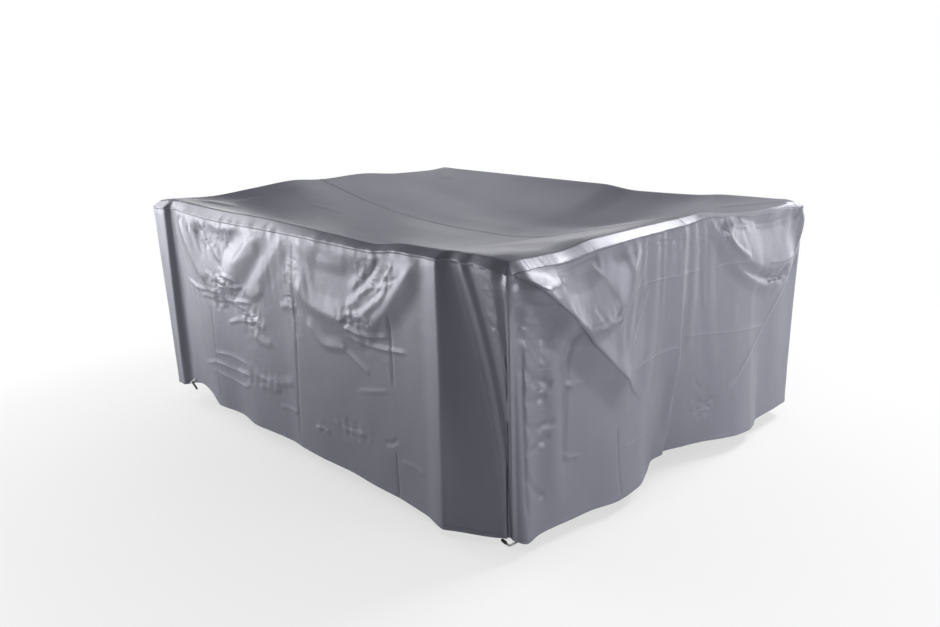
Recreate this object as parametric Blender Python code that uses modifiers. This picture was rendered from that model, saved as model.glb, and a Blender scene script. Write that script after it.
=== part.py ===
"""Patio furniture cover, draped: a sagging top in two widths and four hanging side panels.

Metres, +Z up. X runs along the long sides and Y across. The origin lies under the middle of the
top, against the cloth. Heights in the tables are measured from the ground that the hem hangs over.
The sides are named from outside the near corner: front, right, back and left, each read from
its left end to its right end, with "along" counted from the middle of the side.
"""

import math
from collections import namedtuple

import bpy
import numpy as np

LENGTH = 2.12
WIDTH = 1.72
ORIGIN_HEIGHT = 0.775
CLOTH = 0.002
SEAM_GAP = 0.0036
CORNER_GAP = 0.0025

# The roll of the rim, and the sag of the top inside it.
ROLL = 0.030
ROLL_POWER = 1.85
RIM_BLEND = 0.09
SAG_DEPTH = 0.16
SAG_POWER_X = 1.9
SAG_POWER_Y = 2.3
CORNER_ROUND_SEAM = ROLL
CORNER_ROUND_HEM = 0.06

# How finely the pieces are divided.
COLUMN_STEP = 0.06
CORNER_COLUMN = 0.004
SKIRT_ROWS = 10
ROW_CROWDING = 1.12
TOP_STEP = 0.09
ROLL_SPLIT = (0.0, 0.15, 0.5, 1.0)
COURSE_POINTS = 25
TIE_POINTS = 13

TIE_WIDTH = 0.008
TIE_THICKNESS = 0.0015
TOGGLE_DEPTH = 0.007
TOGGLE_HEIGHT = 0.011
TOGGLE_ROUND = 0.0015
TOGGLE_ROUND_STEPS = 2

CLOTH_GREY = (0.20, 0.203, 0.248, 1.0)
WEBBING_GREY = (0.55, 0.55, 0.55, 1.0)
TOGGLE_BLACK = (0.02, 0.02, 0.02, 1.0)
CLOTH_ROUGHNESS = 0.45
WEBBING_ROUGHNESS = 0.65
TOGGLE_ROUGHNESS = 0.4

# Each side: its start corner, its direction and its outward normal in plan, and its length.
Side = namedtuple("Side", "corner direction normal length")
SIDES = {
    "front": Side((-LENGTH / 2, -WIDTH / 2), (1, 0), (0, -1), LENGTH),
    "right": Side((LENGTH / 2, -WIDTH / 2), (0, 1), (1, 0), WIDTH),
    "back": Side((LENGTH / 2, WIDTH / 2), (-1, 0), (0, 1), LENGTH),
    "left": Side((-LENGTH / 2, WIDTH / 2), (0, -1), (-1, 0), WIDTH),
}
SIDE_START = dict(zip(SIDES, np.cumsum([0, LENGTH, WIDTH, LENGTH])))
GIRTH = 2 * (LENGTH + WIDTH)

# The rim: along the side, height of its crest, and how far below the crest the seam runs.
Rim = namedtuple("Rim", "along crest depth")
RIM = {
    "front": (
        Rim(-1.060, 0.902, 0.024),
        Rim(-0.950, 0.905, 0.027),
        Rim(-0.850, 0.914, 0.030),
        Rim(-0.550, 0.912, 0.041),
        Rim(-0.250, 0.916, 0.043),
        Rim(0.000, 0.912, 0.037),
        Rim(0.270, 0.903, 0.031),
        Rim(0.430, 0.897, 0.026),
        Rim(0.600, 0.914, 0.025),
        Rim(0.800, 0.914, 0.023),
        Rim(0.950, 0.914, 0.023),
    ),
    "right": (
        Rim(-0.860, 0.903, 0.024),
        Rim(-0.800, 0.910, 0.025),
        Rim(-0.620, 0.911, 0.027),
        Rim(-0.460, 0.929, 0.030),
        Rim(-0.200, 0.934, 0.028),
        Rim(0.050, 0.936, 0.022),
        Rim(0.130, 0.938, 0.016),
        Rim(0.290, 0.917, 0.012),
        Rim(0.500, 0.897, 0.010),
        Rim(0.750, 0.890, 0.010),
    ),
    "back": (
        Rim(-1.060, 0.892, 0.014),
        Rim(-0.990, 0.903, 0.024),
        Rim(-0.727, 0.905, 0.030),
        Rim(-0.580, 0.895, 0.030),
        Rim(-0.270, 0.891, 0.028),
        Rim(-0.070, 0.909, 0.032),
        Rim(0.350, 0.910, 0.034),
        Rim(0.780, 0.908, 0.030),
    ),
    "left": (
        Rim(-0.860, 0.906, 0.026),
        Rim(-0.750, 0.900, 0.028),
        Rim(-0.500, 0.906, 0.032),
        Rim(-0.235, 0.928, 0.034),
        Rim(-0.020, 0.922, 0.034),
        Rim(0.158, 0.933, 0.036),
        Rim(0.380, 0.916, 0.034),
        Rim(0.610, 0.899, 0.030),
        Rim(0.800, 0.905, 0.026),
    ),
}

# The upright folds, a row for each ridge or valley: along the side at the seam, half way down and
# at the hem; out from the side's plane at the same three levels; and the height of the hem.
Fold = namedtuple("Fold", "along along_mid along_hem out out_mid out_hem hem")
FOLDS = {
    "front": (
        Fold(-1.060, -1.060, -1.060, 0.013, 0.001, -0.008, 0.078),
        Fold(-1.005, -1.000, -0.995, 0.006, 0.000, -0.012, 0.078),
        Fold(-0.962, -0.960, -0.958, 0.004, 0.001, -0.008, 0.080),
        Fold(-0.930, -0.930, -0.930, -0.014, -0.024, -0.032, 0.085),
        Fold(-0.880, -0.878, -0.875, -0.004, -0.014, -0.024, 0.104),
        Fold(-0.800, -0.800, -0.800, 0.003, -0.002, -0.022, 0.116),
        Fold(-0.720, -0.720, -0.720, 0.003, 0.003, -0.016, 0.100),
        Fold(-0.640, -0.640, -0.635, 0.002, 0.004, -0.008, 0.064),
        Fold(-0.480, -0.480, -0.480, 0.002, 0.000, -0.020, 0.064),
        Fold(-0.350, -0.350, -0.350, 0.002, 0.002, -0.006, 0.054),
        Fold(-0.220, -0.220, -0.220, 0.000, 0.004, -0.010, 0.056),
        Fold(-0.100, -0.100, -0.100, 0.002, 0.000, -0.012, 0.058),
        Fold(0.000, 0.000, 0.000, 0.002, 0.004, -0.004, 0.056),
        Fold(0.120, 0.120, 0.120, 0.000, 0.003, 0.000, 0.054),
        Fold(0.280, 0.280, 0.280, 0.000, 0.002, -0.002, 0.055),
        Fold(0.420, 0.420, 0.420, 0.000, 0.002, 0.003, 0.050),
        Fold(0.560, 0.560, 0.560, 0.001, 0.004, 0.008, 0.050),
        Fold(0.680, 0.700, 0.720, 0.003, 0.014, 0.026, 0.050),
        Fold(0.778, 0.808, 0.822, 0.012, 0.034, 0.050, 0.048),
        Fold(0.790, 0.822, 0.838, -0.004, 0.012, 0.036, 0.047),
        Fold(0.800, 0.860, 0.905, -0.010, -0.014, 0.012, 0.047),
        Fold(0.814, 0.925, 1.000, -0.012, -0.042, -0.034, 0.053),
        Fold(0.862, 0.975, 1.034, -0.002, -0.035, -0.028, 0.057),
        Fold(0.888, 0.992, 1.042, -0.012, -0.044, -0.038, 0.058),
        Fold(0.930, 1.004, 1.050, -0.004, -0.037, -0.036, 0.058),
        Fold(0.985, 1.022, 1.060, 0.001, -0.033, -0.036, 0.058),
        Fold(1.028, 1.040, 1.072, -0.010, -0.038, -0.036, 0.057),
    ),
    "right": (
        Fold(-0.860, -0.852, -0.836, 0.000, -0.012, -0.024, 0.054),
        Fold(-0.832, -0.826, -0.814, -0.008, -0.017, -0.018, 0.049),
        Fold(-0.792, -0.790, -0.785, 0.002, 0.000, 0.004, 0.043),
        Fold(-0.725, -0.725, -0.725, 0.000, -0.010, -0.004, 0.048),
        Fold(-0.660, -0.660, -0.655, 0.003, 0.006, 0.000, 0.050),
        Fold(-0.600, -0.600, -0.600, -0.001, -0.008, 0.006, 0.050),
        Fold(-0.500, -0.500, -0.500, 0.001, 0.004, 0.014, 0.050),
        Fold(-0.375, -0.375, -0.375, 0.001, 0.010, 0.036, 0.048),
        Fold(-0.250, -0.250, -0.250, 0.001, 0.008, 0.024, 0.050),
        Fold(-0.160, -0.160, -0.160, 0.000, 0.000, -0.010, 0.062),
        Fold(-0.080, -0.075, -0.070, 0.000, -0.004, -0.046, 0.070),
        Fold(-0.010, -0.010, -0.010, 0.004, 0.008, -0.048, 0.068),
        Fold(0.020, 0.020, 0.020, 0.002, -0.014, -0.068, 0.064),
        Fold(0.100, 0.100, 0.100, 0.000, -0.010, -0.046, 0.064),
        Fold(0.200, 0.200, 0.200, 0.002, -0.004, -0.014, 0.064),
        Fold(0.290, 0.290, 0.290, 0.000, 0.004, 0.024, 0.062),
        Fold(0.370, 0.370, 0.370, 0.002, 0.010, 0.044, 0.058),
        Fold(0.460, 0.460, 0.460, 0.000, 0.010, 0.040, 0.050),
        Fold(0.515, 0.515, 0.515, 0.000, 0.004, 0.026, 0.050),
        Fold(0.560, 0.560, 0.560, 0.000, 0.002, 0.010, 0.058),
        Fold(0.680, 0.680, 0.680, 0.001, 0.004, 0.010, 0.060),
        Fold(0.800, 0.800, 0.800, 0.000, 0.000, 0.004, 0.062),
    ),
    "back": (
        Fold(-1.060, -1.060, -1.060, 0.008, 0.002, -0.004, 0.060),
        Fold(-0.980, -0.980, -0.975, 0.002, -0.004, -0.018, 0.058),
        Fold(-0.900, -0.895, -0.890, -0.004, -0.030, -0.040, 0.060),
        Fold(-0.800, -0.790, -0.780, 0.002, 0.004, -0.010, 0.064),
        Fold(-0.620, -0.620, -0.620, 0.000, 0.010, 0.020, 0.056),
        Fold(-0.470, -0.470, -0.465, 0.000, -0.008, -0.030, 0.066),
        Fold(-0.300, -0.300, -0.300, 0.002, 0.006, 0.006, 0.058),
        Fold(-0.120, -0.120, -0.120, 0.000, 0.012, 0.030, 0.052),
        Fold(0.020, 0.020, 0.020, 0.000, -0.006, -0.022, 0.062),
        Fold(0.160, 0.160, 0.160, 0.002, 0.002, 0.004, 0.060),
        Fold(0.340, 0.340, 0.340, 0.000, 0.010, 0.024, 0.054),
        Fold(0.500, 0.500, 0.495, 0.000, -0.010, -0.034, 0.066),
        Fold(0.660, 0.660, 0.660, 0.002, 0.004, -0.004, 0.060),
        Fold(0.800, 0.795, 0.790, 0.000, 0.012, 0.022, 0.054),
        Fold(0.900, 0.895, 0.890, -0.004, -0.026, -0.040, 0.058),
        Fold(0.980, 0.980, 0.975, 0.002, 0.000, -0.014, 0.058),
    ),
    "left": (
        Fold(-0.860, -0.860, -0.860, 0.006, -0.002, -0.010, 0.060),
        Fold(-0.790, -0.790, -0.785, 0.002, -0.004, -0.014, 0.060),
        Fold(-0.700, -0.695, -0.690, -0.003, -0.028, -0.042, 0.062),
        Fold(-0.580, -0.575, -0.570, 0.002, 0.008, 0.006, 0.056),
        Fold(-0.400, -0.400, -0.400, 0.000, 0.012, 0.030, 0.052),
        Fold(-0.240, -0.240, -0.240, 0.000, -0.006, -0.020, 0.064),
        Fold(-0.080, -0.080, -0.080, 0.002, 0.002, -0.006, 0.062),
        Fold(0.080, 0.080, 0.080, 0.000, 0.012, 0.024, 0.054),
        Fold(0.200, 0.200, 0.200, 0.000, -0.010, -0.036, 0.068),
        Fold(0.360, 0.360, 0.360, 0.002, 0.004, 0.004, 0.060),
        Fold(0.520, 0.520, 0.520, 0.000, 0.012, 0.028, 0.054),
        Fold(0.660, 0.660, 0.660, 0.000, -0.008, -0.018, 0.062),
        Fold(0.740, 0.745, 0.750, 0.002, 0.004, -0.004, 0.066),
        Fold(0.805, 0.810, 0.815, -0.002, -0.016, -0.028, 0.070),
    ),
}

# The drapes: the side, how far each stands out, its half width on the left of its course and on
# the right, and its course as (along, height) points. Read from left to right, the left of a
# hanging drape is its inside.
Drape = namedtuple("Drape", "side rise left right course")
DRAPES = (
    # Front: the left swag and the soft ridge beside it, then the middle swag.
    Drape("front", 0.019, 0.100, 0.090,
          ((-0.84, 0.90), (-0.66, 0.67), (-0.54, 0.60), (-0.42, 0.68), (-0.18, 0.90))),
    Drape("front", -0.010, 0.060, 0.080, ((-0.72, 0.85), (-0.47, 0.79), (-0.24, 0.85))),
    Drape("front", 0.006, 0.070, 0.070, ((-0.05, 0.87), (-0.19, 0.71), (-0.31, 0.59))),
    Drape("front", 0.018, 0.110, 0.095,
          ((-0.02, 0.80), (0.07, 0.69), (0.20, 0.625), (0.34, 0.605), (0.46, 0.665),
           (0.575, 0.76), (0.71, 0.90))),
    Drape("front", -0.010, 0.060, 0.080, ((0.10, 0.84), (0.33, 0.78), (0.55, 0.84))),
    # Right: the cloth that hangs over the near corner, its swag, the far swag and its limb.
    Drape("right", 0.034, 0.200, 0.100,
          ((-0.92, 0.955), (-0.84, 0.885), (-0.70, 0.775), (-0.53, 0.630), (-0.40, 0.500),
           (-0.28, 0.390))),
    Drape("right", 0.030, 0.165, 0.060,
          ((-0.82, 0.90), (-0.66, 0.735), (-0.53, 0.672), (-0.38, 0.695), (-0.27, 0.90))),
    Drape("right", 0.028, 0.165, 0.045,
          ((0.20, 0.91), (0.33, 0.775), (0.46, 0.705), (0.62, 0.668), (0.80, 0.675))),
    Drape("right", 0.014, 0.040, 0.045,
          ((0.15, 0.91), (0.30, 0.75), (0.45, 0.65), (0.60, 0.60), (0.74, 0.585))),
    Drape("right", 0.010, 0.090, 0.040, ((0.71, 0.58), (0.77, 0.66), (0.81, 0.74), (0.87, 0.88))),
    Drape("right", -0.014, 0.040, 0.050, ((0.36, 0.872), (0.60, 0.848), (0.85, 0.868))),
    # Back and left: two swags each.
    Drape("back", 0.020, 0.110, 0.050,
          ((-0.70, 0.89), (-0.52, 0.70), (-0.34, 0.63), (-0.12, 0.72), (0.04, 0.90))),
    Drape("back", 0.020, 0.110, 0.050,
          ((0.12, 0.90), (0.32, 0.70), (0.50, 0.61), (0.66, 0.68), (0.84, 0.90))),
    Drape("left", 0.020, 0.110, 0.050,
          ((-0.62, 0.89), (-0.40, 0.68), (-0.22, 0.64), (-0.02, 0.74), (0.10, 0.91))),
    Drape("left", 0.016, 0.090, 0.045, ((0.20, 0.90), (0.38, 0.72), (0.52, 0.66), (0.68, 0.90))),
)
DRAPE_FADE = 0.14
DRAPES_START = 0.06

# The soft gathers under the rim at the middle of the right side, each with the place of its foot
# and the height it runs down to.
Gather = namedtuple("Gather", "along foot rise half_width low")
GATHERS = (
    Gather(-0.330, -0.390, 0.0050, 0.050, 0.40),
    Gather(-0.262, -0.330, 0.0060, 0.036, 0.54),
    Gather(-0.160, -0.205, 0.0065, 0.044, 0.34),
    Gather(-0.052, -0.070, 0.0055, 0.046, 0.36),
    Gather(0.062, 0.078, 0.0050, 0.036, 0.44),
    Gather(0.150, 0.235, 0.0055, 0.050, 0.32),
)
GATHER_TOP = 0.925

# The ties: centre line as (x, y, height) points from one end to the other, and the toggle: its
# middle, its length, how far it is turned about Z and how far its outer end hangs down, in degrees.
TIES = {
    "near": {
        "line": ((1.004, -0.828, 0.041), (1.010, -0.825, 0.0375), (1.0192, -0.820, 0.0338),
                 (1.0281, -0.810, 0.0392), (1.035, -0.800, 0.046)),
        "toggle": (1.0080, -0.8326, 0.0478),
        "length": 0.022,
        "turn": 8.0,
        "tilt": 20.0,
    },
    "left": {
        "line": ((-0.9215, -0.842, 0.091), (-0.905, -0.842, 0.102), (-0.8895, -0.842, 0.112),
                 (-0.872, -0.842, 0.121)),
        "toggle": (-0.8735, -0.8468, 0.0934),
        "length": 0.052,
        "turn": 0.0,
        "tilt": 31.0,
    },
}


def through(knots, values, at):
    """A curve through the values that never swings past them: cubic steps whose slope is the
    harmonic mean of the slopes beside each knot, and nothing at a ridge or a valley."""
    steps = np.diff(knots)
    slopes = np.diff(values) / steps
    left, right = slopes[:-1], slopes[1:]
    same_way = left * right > 0
    weight_left = 2 * steps[1:] + steps[:-1]
    weight_right = steps[1:] + 2 * steps[:-1]
    safe_left = np.where(same_way, left, 1.0)
    safe_right = np.where(same_way, right, 1.0)
    mean = (weight_left + weight_right) / (weight_left / safe_left + weight_right / safe_right)
    inner = np.where(same_way, mean, 0.0)
    tangent = np.concatenate([slopes[:1], inner, slopes[-1:]])
    cell = np.clip(np.searchsorted(knots, at) - 1, 0, len(steps) - 1)
    t = (at - knots[cell]) / steps[cell]
    start, end = values[cell], values[cell + 1]
    return (
        start * (1 + 2 * t) * (1 - t) ** 2
        + end * t**2 * (3 - 2 * t)
        + steps[cell] * (tangent[cell] * t * (1 - t) ** 2 - tangent[cell + 1] * t**2 * (1 - t))
    )


def middle_of(side):
    """The way round the cover at the middle of a side."""
    return SIDE_START[side] + SIDES[side].length / 2


def girth_curve(table, value_of, at):
    """A value of the rows of a side-by-side table as a smooth closed function of the way round."""
    rows = [(middle_of(side) + row.along, value_of(row)) for side in SIDES for row in table[side]]
    knots, values = np.array(rows).T
    knots = np.concatenate([knots[-3:] - GIRTH, knots, knots[:3] + GIRTH])
    values = np.concatenate([values[-3:], values, values[:3]])
    return through(knots, values, np.mod(at, GIRTH))


def round_the_girth(table, column, at):
    """A column of a side-by-side table as a smooth closed function of the way round the cover."""
    return girth_curve(table, lambda row: getattr(row, column), at)


def fold_shift(column, at):
    """How far a fold has moved round the cover at a lower level, from its place at the seam."""
    return girth_curve(FOLDS, lambda fold: getattr(fold, column) - fold.along, at)


def stations(length):
    """The lines that cross the top to a side of this length, counted from the side's middle:
    close together on the roll at either end, and even between."""
    half = length / 2
    roll = np.array(ROLL_SPLIT) * ROLL
    count = 2 * round((half - ROLL) / TOP_STEP)
    even = np.linspace(ROLL - half, half - ROLL, count + 1)[1:-1]
    return np.concatenate([roll - half, even, half - roll[::-1]])


def along_the_seam(table, column, at):
    """A column of a table at the seam, straight between the stations, so that the top and the
    side panels meet along the same line."""
    ways = np.concatenate([middle_of(name) + stations(side.length) for name, side in SIDES.items()])
    return np.interp(at, ways, round_the_girth(table, column, ways))


def plan(way, out, corner_round):
    """Points in plan at a way round the cover: a rectangle with round corners, each of which
    takes up the way within its radius, moved out along its normal."""
    way = np.mod(way, GIRTH)
    x, y = np.zeros_like(way), np.zeros_like(way)
    for name, side in SIDES.items():
        half = side.length / 2
        from_middle = way - middle_of(name)
        here = np.abs(from_middle) <= half
        near = np.clip(1 - (half - np.abs(from_middle)) / corner_round, 0, 1)
        turn = np.sign(from_middle) * near * math.pi / 4
        flat = np.clip(from_middle, corner_round - half, half - corner_round)
        run = half + flat + (corner_round + out) * np.sin(turn)
        depth = out * np.cos(turn) - corner_round * (1 - np.cos(turn))
        x = np.where(here, side.corner[0] + side.direction[0] * run + side.normal[0] * depth, x)
        y = np.where(here, side.corner[1] + side.direction[1] * run + side.normal[1] * depth, y)
    return x, y


def smooth_line(points, count):
    """A smooth line through a few points, as evenly spaced points."""
    points = np.array(points)
    span = np.linalg.norm(np.diff(points, axis=0), axis=1)
    knots = np.concatenate([[0], np.cumsum(span)])
    at = np.linspace(0, knots[-1], count)
    return np.stack([through(knots, column, at) for column in points.T], axis=1)


def hump(distance, half_width):
    """A soft hump: one at the middle, level there, and nothing from the half width on."""
    return np.clip(1 - (distance / half_width) ** 2, 0, None) ** 2


def drape_out(along, height, drape):
    """How far a drape stands out: a ridge (or a trough, where rise is negative) that follows its
    course, fades towards its two ends, and falls off at its own rate on either hand."""
    line = smooth_line(drape.course, COURSE_POINTS)
    start, step = line[:-1], np.diff(line, axis=0)
    squared = (step**2).sum(axis=1)
    offset_a = along[..., None] - start[:, 0]
    offset_h = height[..., None] - start[:, 1]
    t = np.clip((offset_a * step[:, 0] + offset_h * step[:, 1]) / squared, 0, 1)
    gap_a, gap_h = offset_a - t * step[:, 0], offset_h - t * step[:, 1]
    distance = np.hypot(gap_a, gap_h)
    nearest = distance.argmin(axis=-1)[..., None]
    closest = np.take_along_axis(distance, nearest, -1)[..., 0]
    hand = np.take_along_axis(step[:, 0] * gap_h - step[:, 1] * gap_a, nearest, -1)[..., 0]
    progress = (nearest[..., 0] + np.take_along_axis(t, nearest, -1)[..., 0]) / len(step)
    ends = np.clip(np.minimum(progress, 1 - progress) / DRAPE_FADE, 0, 1)
    fade = ends * ends * (3 - 2 * ends)
    return drape.rise * fade * hump(closest, np.where(hand > 0, drape.left, drape.right))


def gather_drape(gather):
    """A gather as a narrow drape that hangs from under the rim to its foot."""
    top, foot = (gather.along, GATHER_TOP), (gather.foot, gather.low)
    middle = ((top[0] + foot[0]) / 2, (top[1] + foot[1]) / 2)
    return Drape("right", gather.rise, gather.half_width, gather.half_width, (top, middle, foot))


def drapes_of(side, along, height):
    """All that stands out of a side besides its upright folds."""
    drapes = [*DRAPES, *map(gather_drape, GATHERS)]
    return sum(drape_out(along, height, drape) for drape in drapes if drape.side == side)


def between_levels(seam, middle, hem, down):
    """The parabola through the values at the seam, half way down and at the hem."""
    return (
        seam * (1 - down) * (1 - 2 * down)
        + middle * 4 * down * (1 - down)
        + hem * down * (2 * down - 1)
    )


def skirt_points(side, way, down):
    """Points of a side panel, from the way round at the seam and the fraction of the way down."""
    shift = between_levels(0.0, fold_shift("along_mid", way), fold_shift("along_hem", way), down)
    seam = along_the_seam(RIM, "crest", way) - along_the_seam(RIM, "depth", way) - SEAM_GAP
    height = seam + (round_the_girth(FOLDS, "hem", way) - seam) * down
    out_seam = along_the_seam(FOLDS, "out", way)
    out_mid, out_hem = (round_the_girth(FOLDS, column, way) for column in ("out_mid", "out_hem"))
    started = np.clip(down / DRAPES_START, 0, 1)
    draped = drapes_of(side, way + shift - middle_of(side), height) * started
    corner = CORNER_ROUND_SEAM + (CORNER_ROUND_HEM - CORNER_ROUND_SEAM) * down
    x, y = plan(way + shift, between_levels(out_seam, out_mid, out_hem, down) + draped, corner)
    return np.stack([x, y, height - ORIGIN_HEIGHT], axis=-1)


def column_ways(side):
    """The ways round at which a panel has a column: its folds, with even steps between them."""
    folds = [middle_of(side) + fold.along for fold in FOLDS[side][1:]]
    first = SIDE_START[side] + CORNER_GAP
    last = SIDE_START[side] + SIDES[side].length - CORNER_GAP
    marks = [first, first + CORNER_COLUMN, *folds, last - CORNER_COLUMN, last]
    ways = [first]
    for low, high in zip(marks[:-1], marks[1:]):
        count = max(1, round((high - low) / COLUMN_STEP))
        ways.extend(low + (high - low) * np.arange(1, count + 1) / count)
    return np.array(ways)


def roll_profile(edge):
    """The roll at the rim, from the seam (0) to the flat of the top (1), as a quarter of a
    superellipse: how far in from the outer plane, as a part of ROLL, and the part of the seam's
    depth that is still below the crest."""
    angle = edge * math.pi / 2
    return 1 - np.cos(angle) ** ROLL_POWER, 1 - np.sin(angle) ** ROLL_POWER


def top_points(x_part, y_part):
    """Points of the top over a square from -1 to 1 each way. The outer part of the square, next
    to its edge, is the roll; it turns about each corner as a part of a ball."""
    half = np.array([LENGTH, WIDTH]) / 2
    parts = np.stack([x_part, y_part], axis=-1)
    edge = np.clip((half - np.abs(parts) * half) / ROLL, 0, 1)
    inset, _ = roll_profile(edge)
    reach = np.where(edge < 1, half - inset * ROLL, np.abs(parts) * half)
    ring_inset, ring_drop = roll_profile(edge.min(axis=-1))
    outer = 1 - edge
    wide, narrow = outer.max(axis=-1), outer.min(axis=-1)
    share = np.divide(narrow, wide, out=np.zeros_like(wide), where=wide > 0)
    turn = np.where(outer[..., 0] >= outer[..., 1], share, 2 - share) * math.pi / 4
    facing = np.stack([np.cos(turn), np.sin(turn)], axis=-1)
    ball = half - ROLL + (1 - ring_inset)[..., None] * ROLL * facing
    on_corner = (edge < 1).all(axis=-1)[..., None]
    place = np.where(on_corner, ball, reach) * np.sign(parts)
    crest, depth = rim_over(parts, half)
    across = np.abs(place) / half
    sag = SAG_DEPTH * (1 - across[..., 0] ** SAG_POWER_X) * (1 - across[..., 1] ** SAG_POWER_Y)
    height = crest - sag - depth * ring_drop
    return np.concatenate([place + edge_play(parts, half), height[..., None] - ORIGIN_HEIGHT], axis=-1)


def ways_of(parts, half):
    """For each point of the top, the way round at the foot of its line to each of the sides."""
    x, y = parts[..., 0] * half[0], parts[..., 1] * half[1]
    local = {"front": x, "right": y, "back": -x, "left": -y}
    return {side: middle_of(side) + local[side] for side in SIDES}


def rim_over(parts, half):
    """The rim's height and the seam's depth carried over the whole top, as a Coons patch."""
    ways = ways_of(parts, half)
    s, t = (parts[..., 0] + 1) / 2, (parts[..., 1] + 1) / 2
    carried = []
    for column in ("crest", "depth"):
        edge = {side: round_the_girth(RIM, column, ways[side]) for side in SIDES}
        corner = {side: getattr(RIM[side][0], column) for side in SIDES}
        along_y = edge["front"] * (1 - t) + edge["back"] * t
        along_x = edge["left"] * (1 - s) + edge["right"] * s
        corners = (
            corner["front"] * (1 - s) * (1 - t)
            + corner["right"] * s * (1 - t)
            + corner["back"] * s * t
            + corner["left"] * (1 - s) * t
        )
        carried.append(along_y + along_x - corners)
    return carried


def edge_play(parts, half):
    """The small wander of the seam in plan, which dies out within RIM_BLEND of the edge."""
    ways = ways_of(parts, half)
    gaps = {
        "front": half[1] * (1 + parts[..., 1]),
        "right": half[0] * (1 - parts[..., 0]),
        "back": half[1] * (1 - parts[..., 1]),
        "left": half[0] * (1 + parts[..., 0]),
    }
    move, total = np.zeros(parts.shape), np.zeros(parts.shape[:-1])
    for name, side in SIDES.items():
        near = np.clip(1 - gaps[name] / RIM_BLEND, 0, 1) ** 2
        out = round_the_girth(FOLDS, "out", ways[name]) * near
        move += out[..., None] * np.array(side.normal)
        total += near
    at_corner = np.clip(total - 1, 0, 1)[..., None]
    return move * (1 - at_corner)


def fresh_scene(name):
    """An empty scene with one collection for the cover's pieces."""
    for item in list(bpy.data.objects):
        bpy.data.objects.remove(item, do_unlink=True)
    collection = bpy.data.collections.new(name)
    bpy.context.scene.collection.children.link(collection)
    return collection


def finish(name, colour, roughness):
    """One plain surface finish."""
    material = bpy.data.materials.new(name)
    material.use_nodes = True
    shader = material.node_tree.nodes["Principled BSDF"]
    shader.inputs["Base Color"].default_value = colour
    shader.inputs["Roughness"].default_value = roughness
    return material


def sheet(collection, name, points, thickness, surface):
    """A thin piece from a grid of points on its outer face, given its thickness inwards."""
    rows, columns = points.shape[:2]
    index = np.arange(rows * columns).reshape(rows, columns)
    corners = (index[:-1, :-1], index[:-1, 1:], index[1:, 1:], index[1:, :-1])
    quads = np.stack(corners, axis=-1).reshape(-1, 4)
    mesh = bpy.data.meshes.new(name)
    mesh.from_pydata(points.reshape(-1, 3).tolist(), [], quads.tolist())
    mesh.shade_smooth()
    mesh.materials.append(surface)
    piece = bpy.data.objects.new(name, mesh)
    collection.objects.link(piece)
    shell = piece.modifiers.new("thickness", "SOLIDIFY")
    shell.thickness = thickness
    shell.offset = -1


def make_skirt(collection, side):
    """One side panel, hanging from the seam. Its rows are closest together near the seam."""
    name = f"skirt_{side}"
    rows_down = (np.arange(SKIRT_ROWS + 1) / SKIRT_ROWS) ** ROW_CROWDING
    way, down = np.meshgrid(column_ways(side), rows_down[::-1])
    surface = finish(name, CLOTH_GREY, CLOTH_ROUGHNESS)
    sheet(collection, name, skirt_points(side, way, down), CLOTH, surface)


def make_top(collection, name, low, high):
    """One width of the top, between two lines across it."""
    xs, ys = stations(LENGTH), stations(WIDTH)
    ys = np.clip(ys[(ys >= low) & (ys <= high)], low + SEAM_GAP / 2, high - SEAM_GAP / 2)
    x_part, y_part = np.meshgrid(xs / (LENGTH / 2), ys / (WIDTH / 2))
    surface = finish(name, CLOTH_GREY, CLOTH_ROUGHNESS)
    sheet(collection, name, top_points(x_part, y_part), CLOTH, surface)


def make_tie(collection, name, line):
    """A strip of webbing whose flat side faces outwards, along a line of (x, y, height) points."""
    middle = smooth_line(line, TIE_POINTS)
    middle[:, 2] -= ORIGIN_HEIGHT
    ahead = np.gradient(middle, axis=0)
    ahead /= np.linalg.norm(ahead, axis=1)[:, None]
    outward = np.cross(ahead, (0, 0, 1.0)).mean(axis=0)
    outward /= np.linalg.norm(outward)
    across = np.cross(ahead, outward) * TIE_WIDTH / 2
    surface = finish(name, WEBBING_GREY, WEBBING_ROUGHNESS)
    sheet(collection, name, np.stack([middle + across, middle - across]), TIE_THICKNESS, surface)


def make_toggle(collection, name, tie):
    """The toggle at the end of a tie: a small bar with rounded edges."""
    bpy.ops.mesh.primitive_cube_add(size=1, location=(0, 0, 0))
    toggle = bpy.context.active_object
    toggle.name = toggle.data.name = name
    toggle.scale = (tie["length"], TOGGLE_DEPTH, TOGGLE_HEIGHT)
    bpy.ops.object.transform_apply(scale=True)
    x, y, height = tie["toggle"]
    toggle.location = (x, y, height - ORIGIN_HEIGHT)
    toggle.rotation_euler = (0, math.radians(tie["tilt"]), math.radians(tie["turn"]))
    rounding = toggle.modifiers.new("rounding", "BEVEL")
    rounding.width = TOGGLE_ROUND
    rounding.segments = TOGGLE_ROUND_STEPS
    toggle.data.materials.append(finish(name, TOGGLE_BLACK, TOGGLE_ROUGHNESS))
    for holder in list(toggle.users_collection):
        holder.objects.unlink(toggle)
    collection.objects.link(toggle)


def main():
    collection = fresh_scene("patio_furniture_cover")
    for side in SIDES:
        make_skirt(collection, side)
    make_top(collection, "top_near", -WIDTH, 0.0)
    make_top(collection, "top_far", 0.0, WIDTH)
    for place, tie in TIES.items():
        make_tie(collection, f"tie_{place}", tie["line"])
        make_toggle(collection, f"toggle_{place}", tie)


main()
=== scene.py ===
"""The looks of a draped patio furniture cover: grey coated cloth in a sagging top of two widths and
four side panels, with its seams, hem and stitches and the two ties that show.

Metres, +Z up, origin under the middle of the top. Heights in the tables are measured from the
ground. The sides are front, right, back and left; "along" is counted from the middle of a side,
from left to right as seen from outside, and "way" runs once round the cover through all four.
"""

import math
from collections import namedtuple

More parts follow.
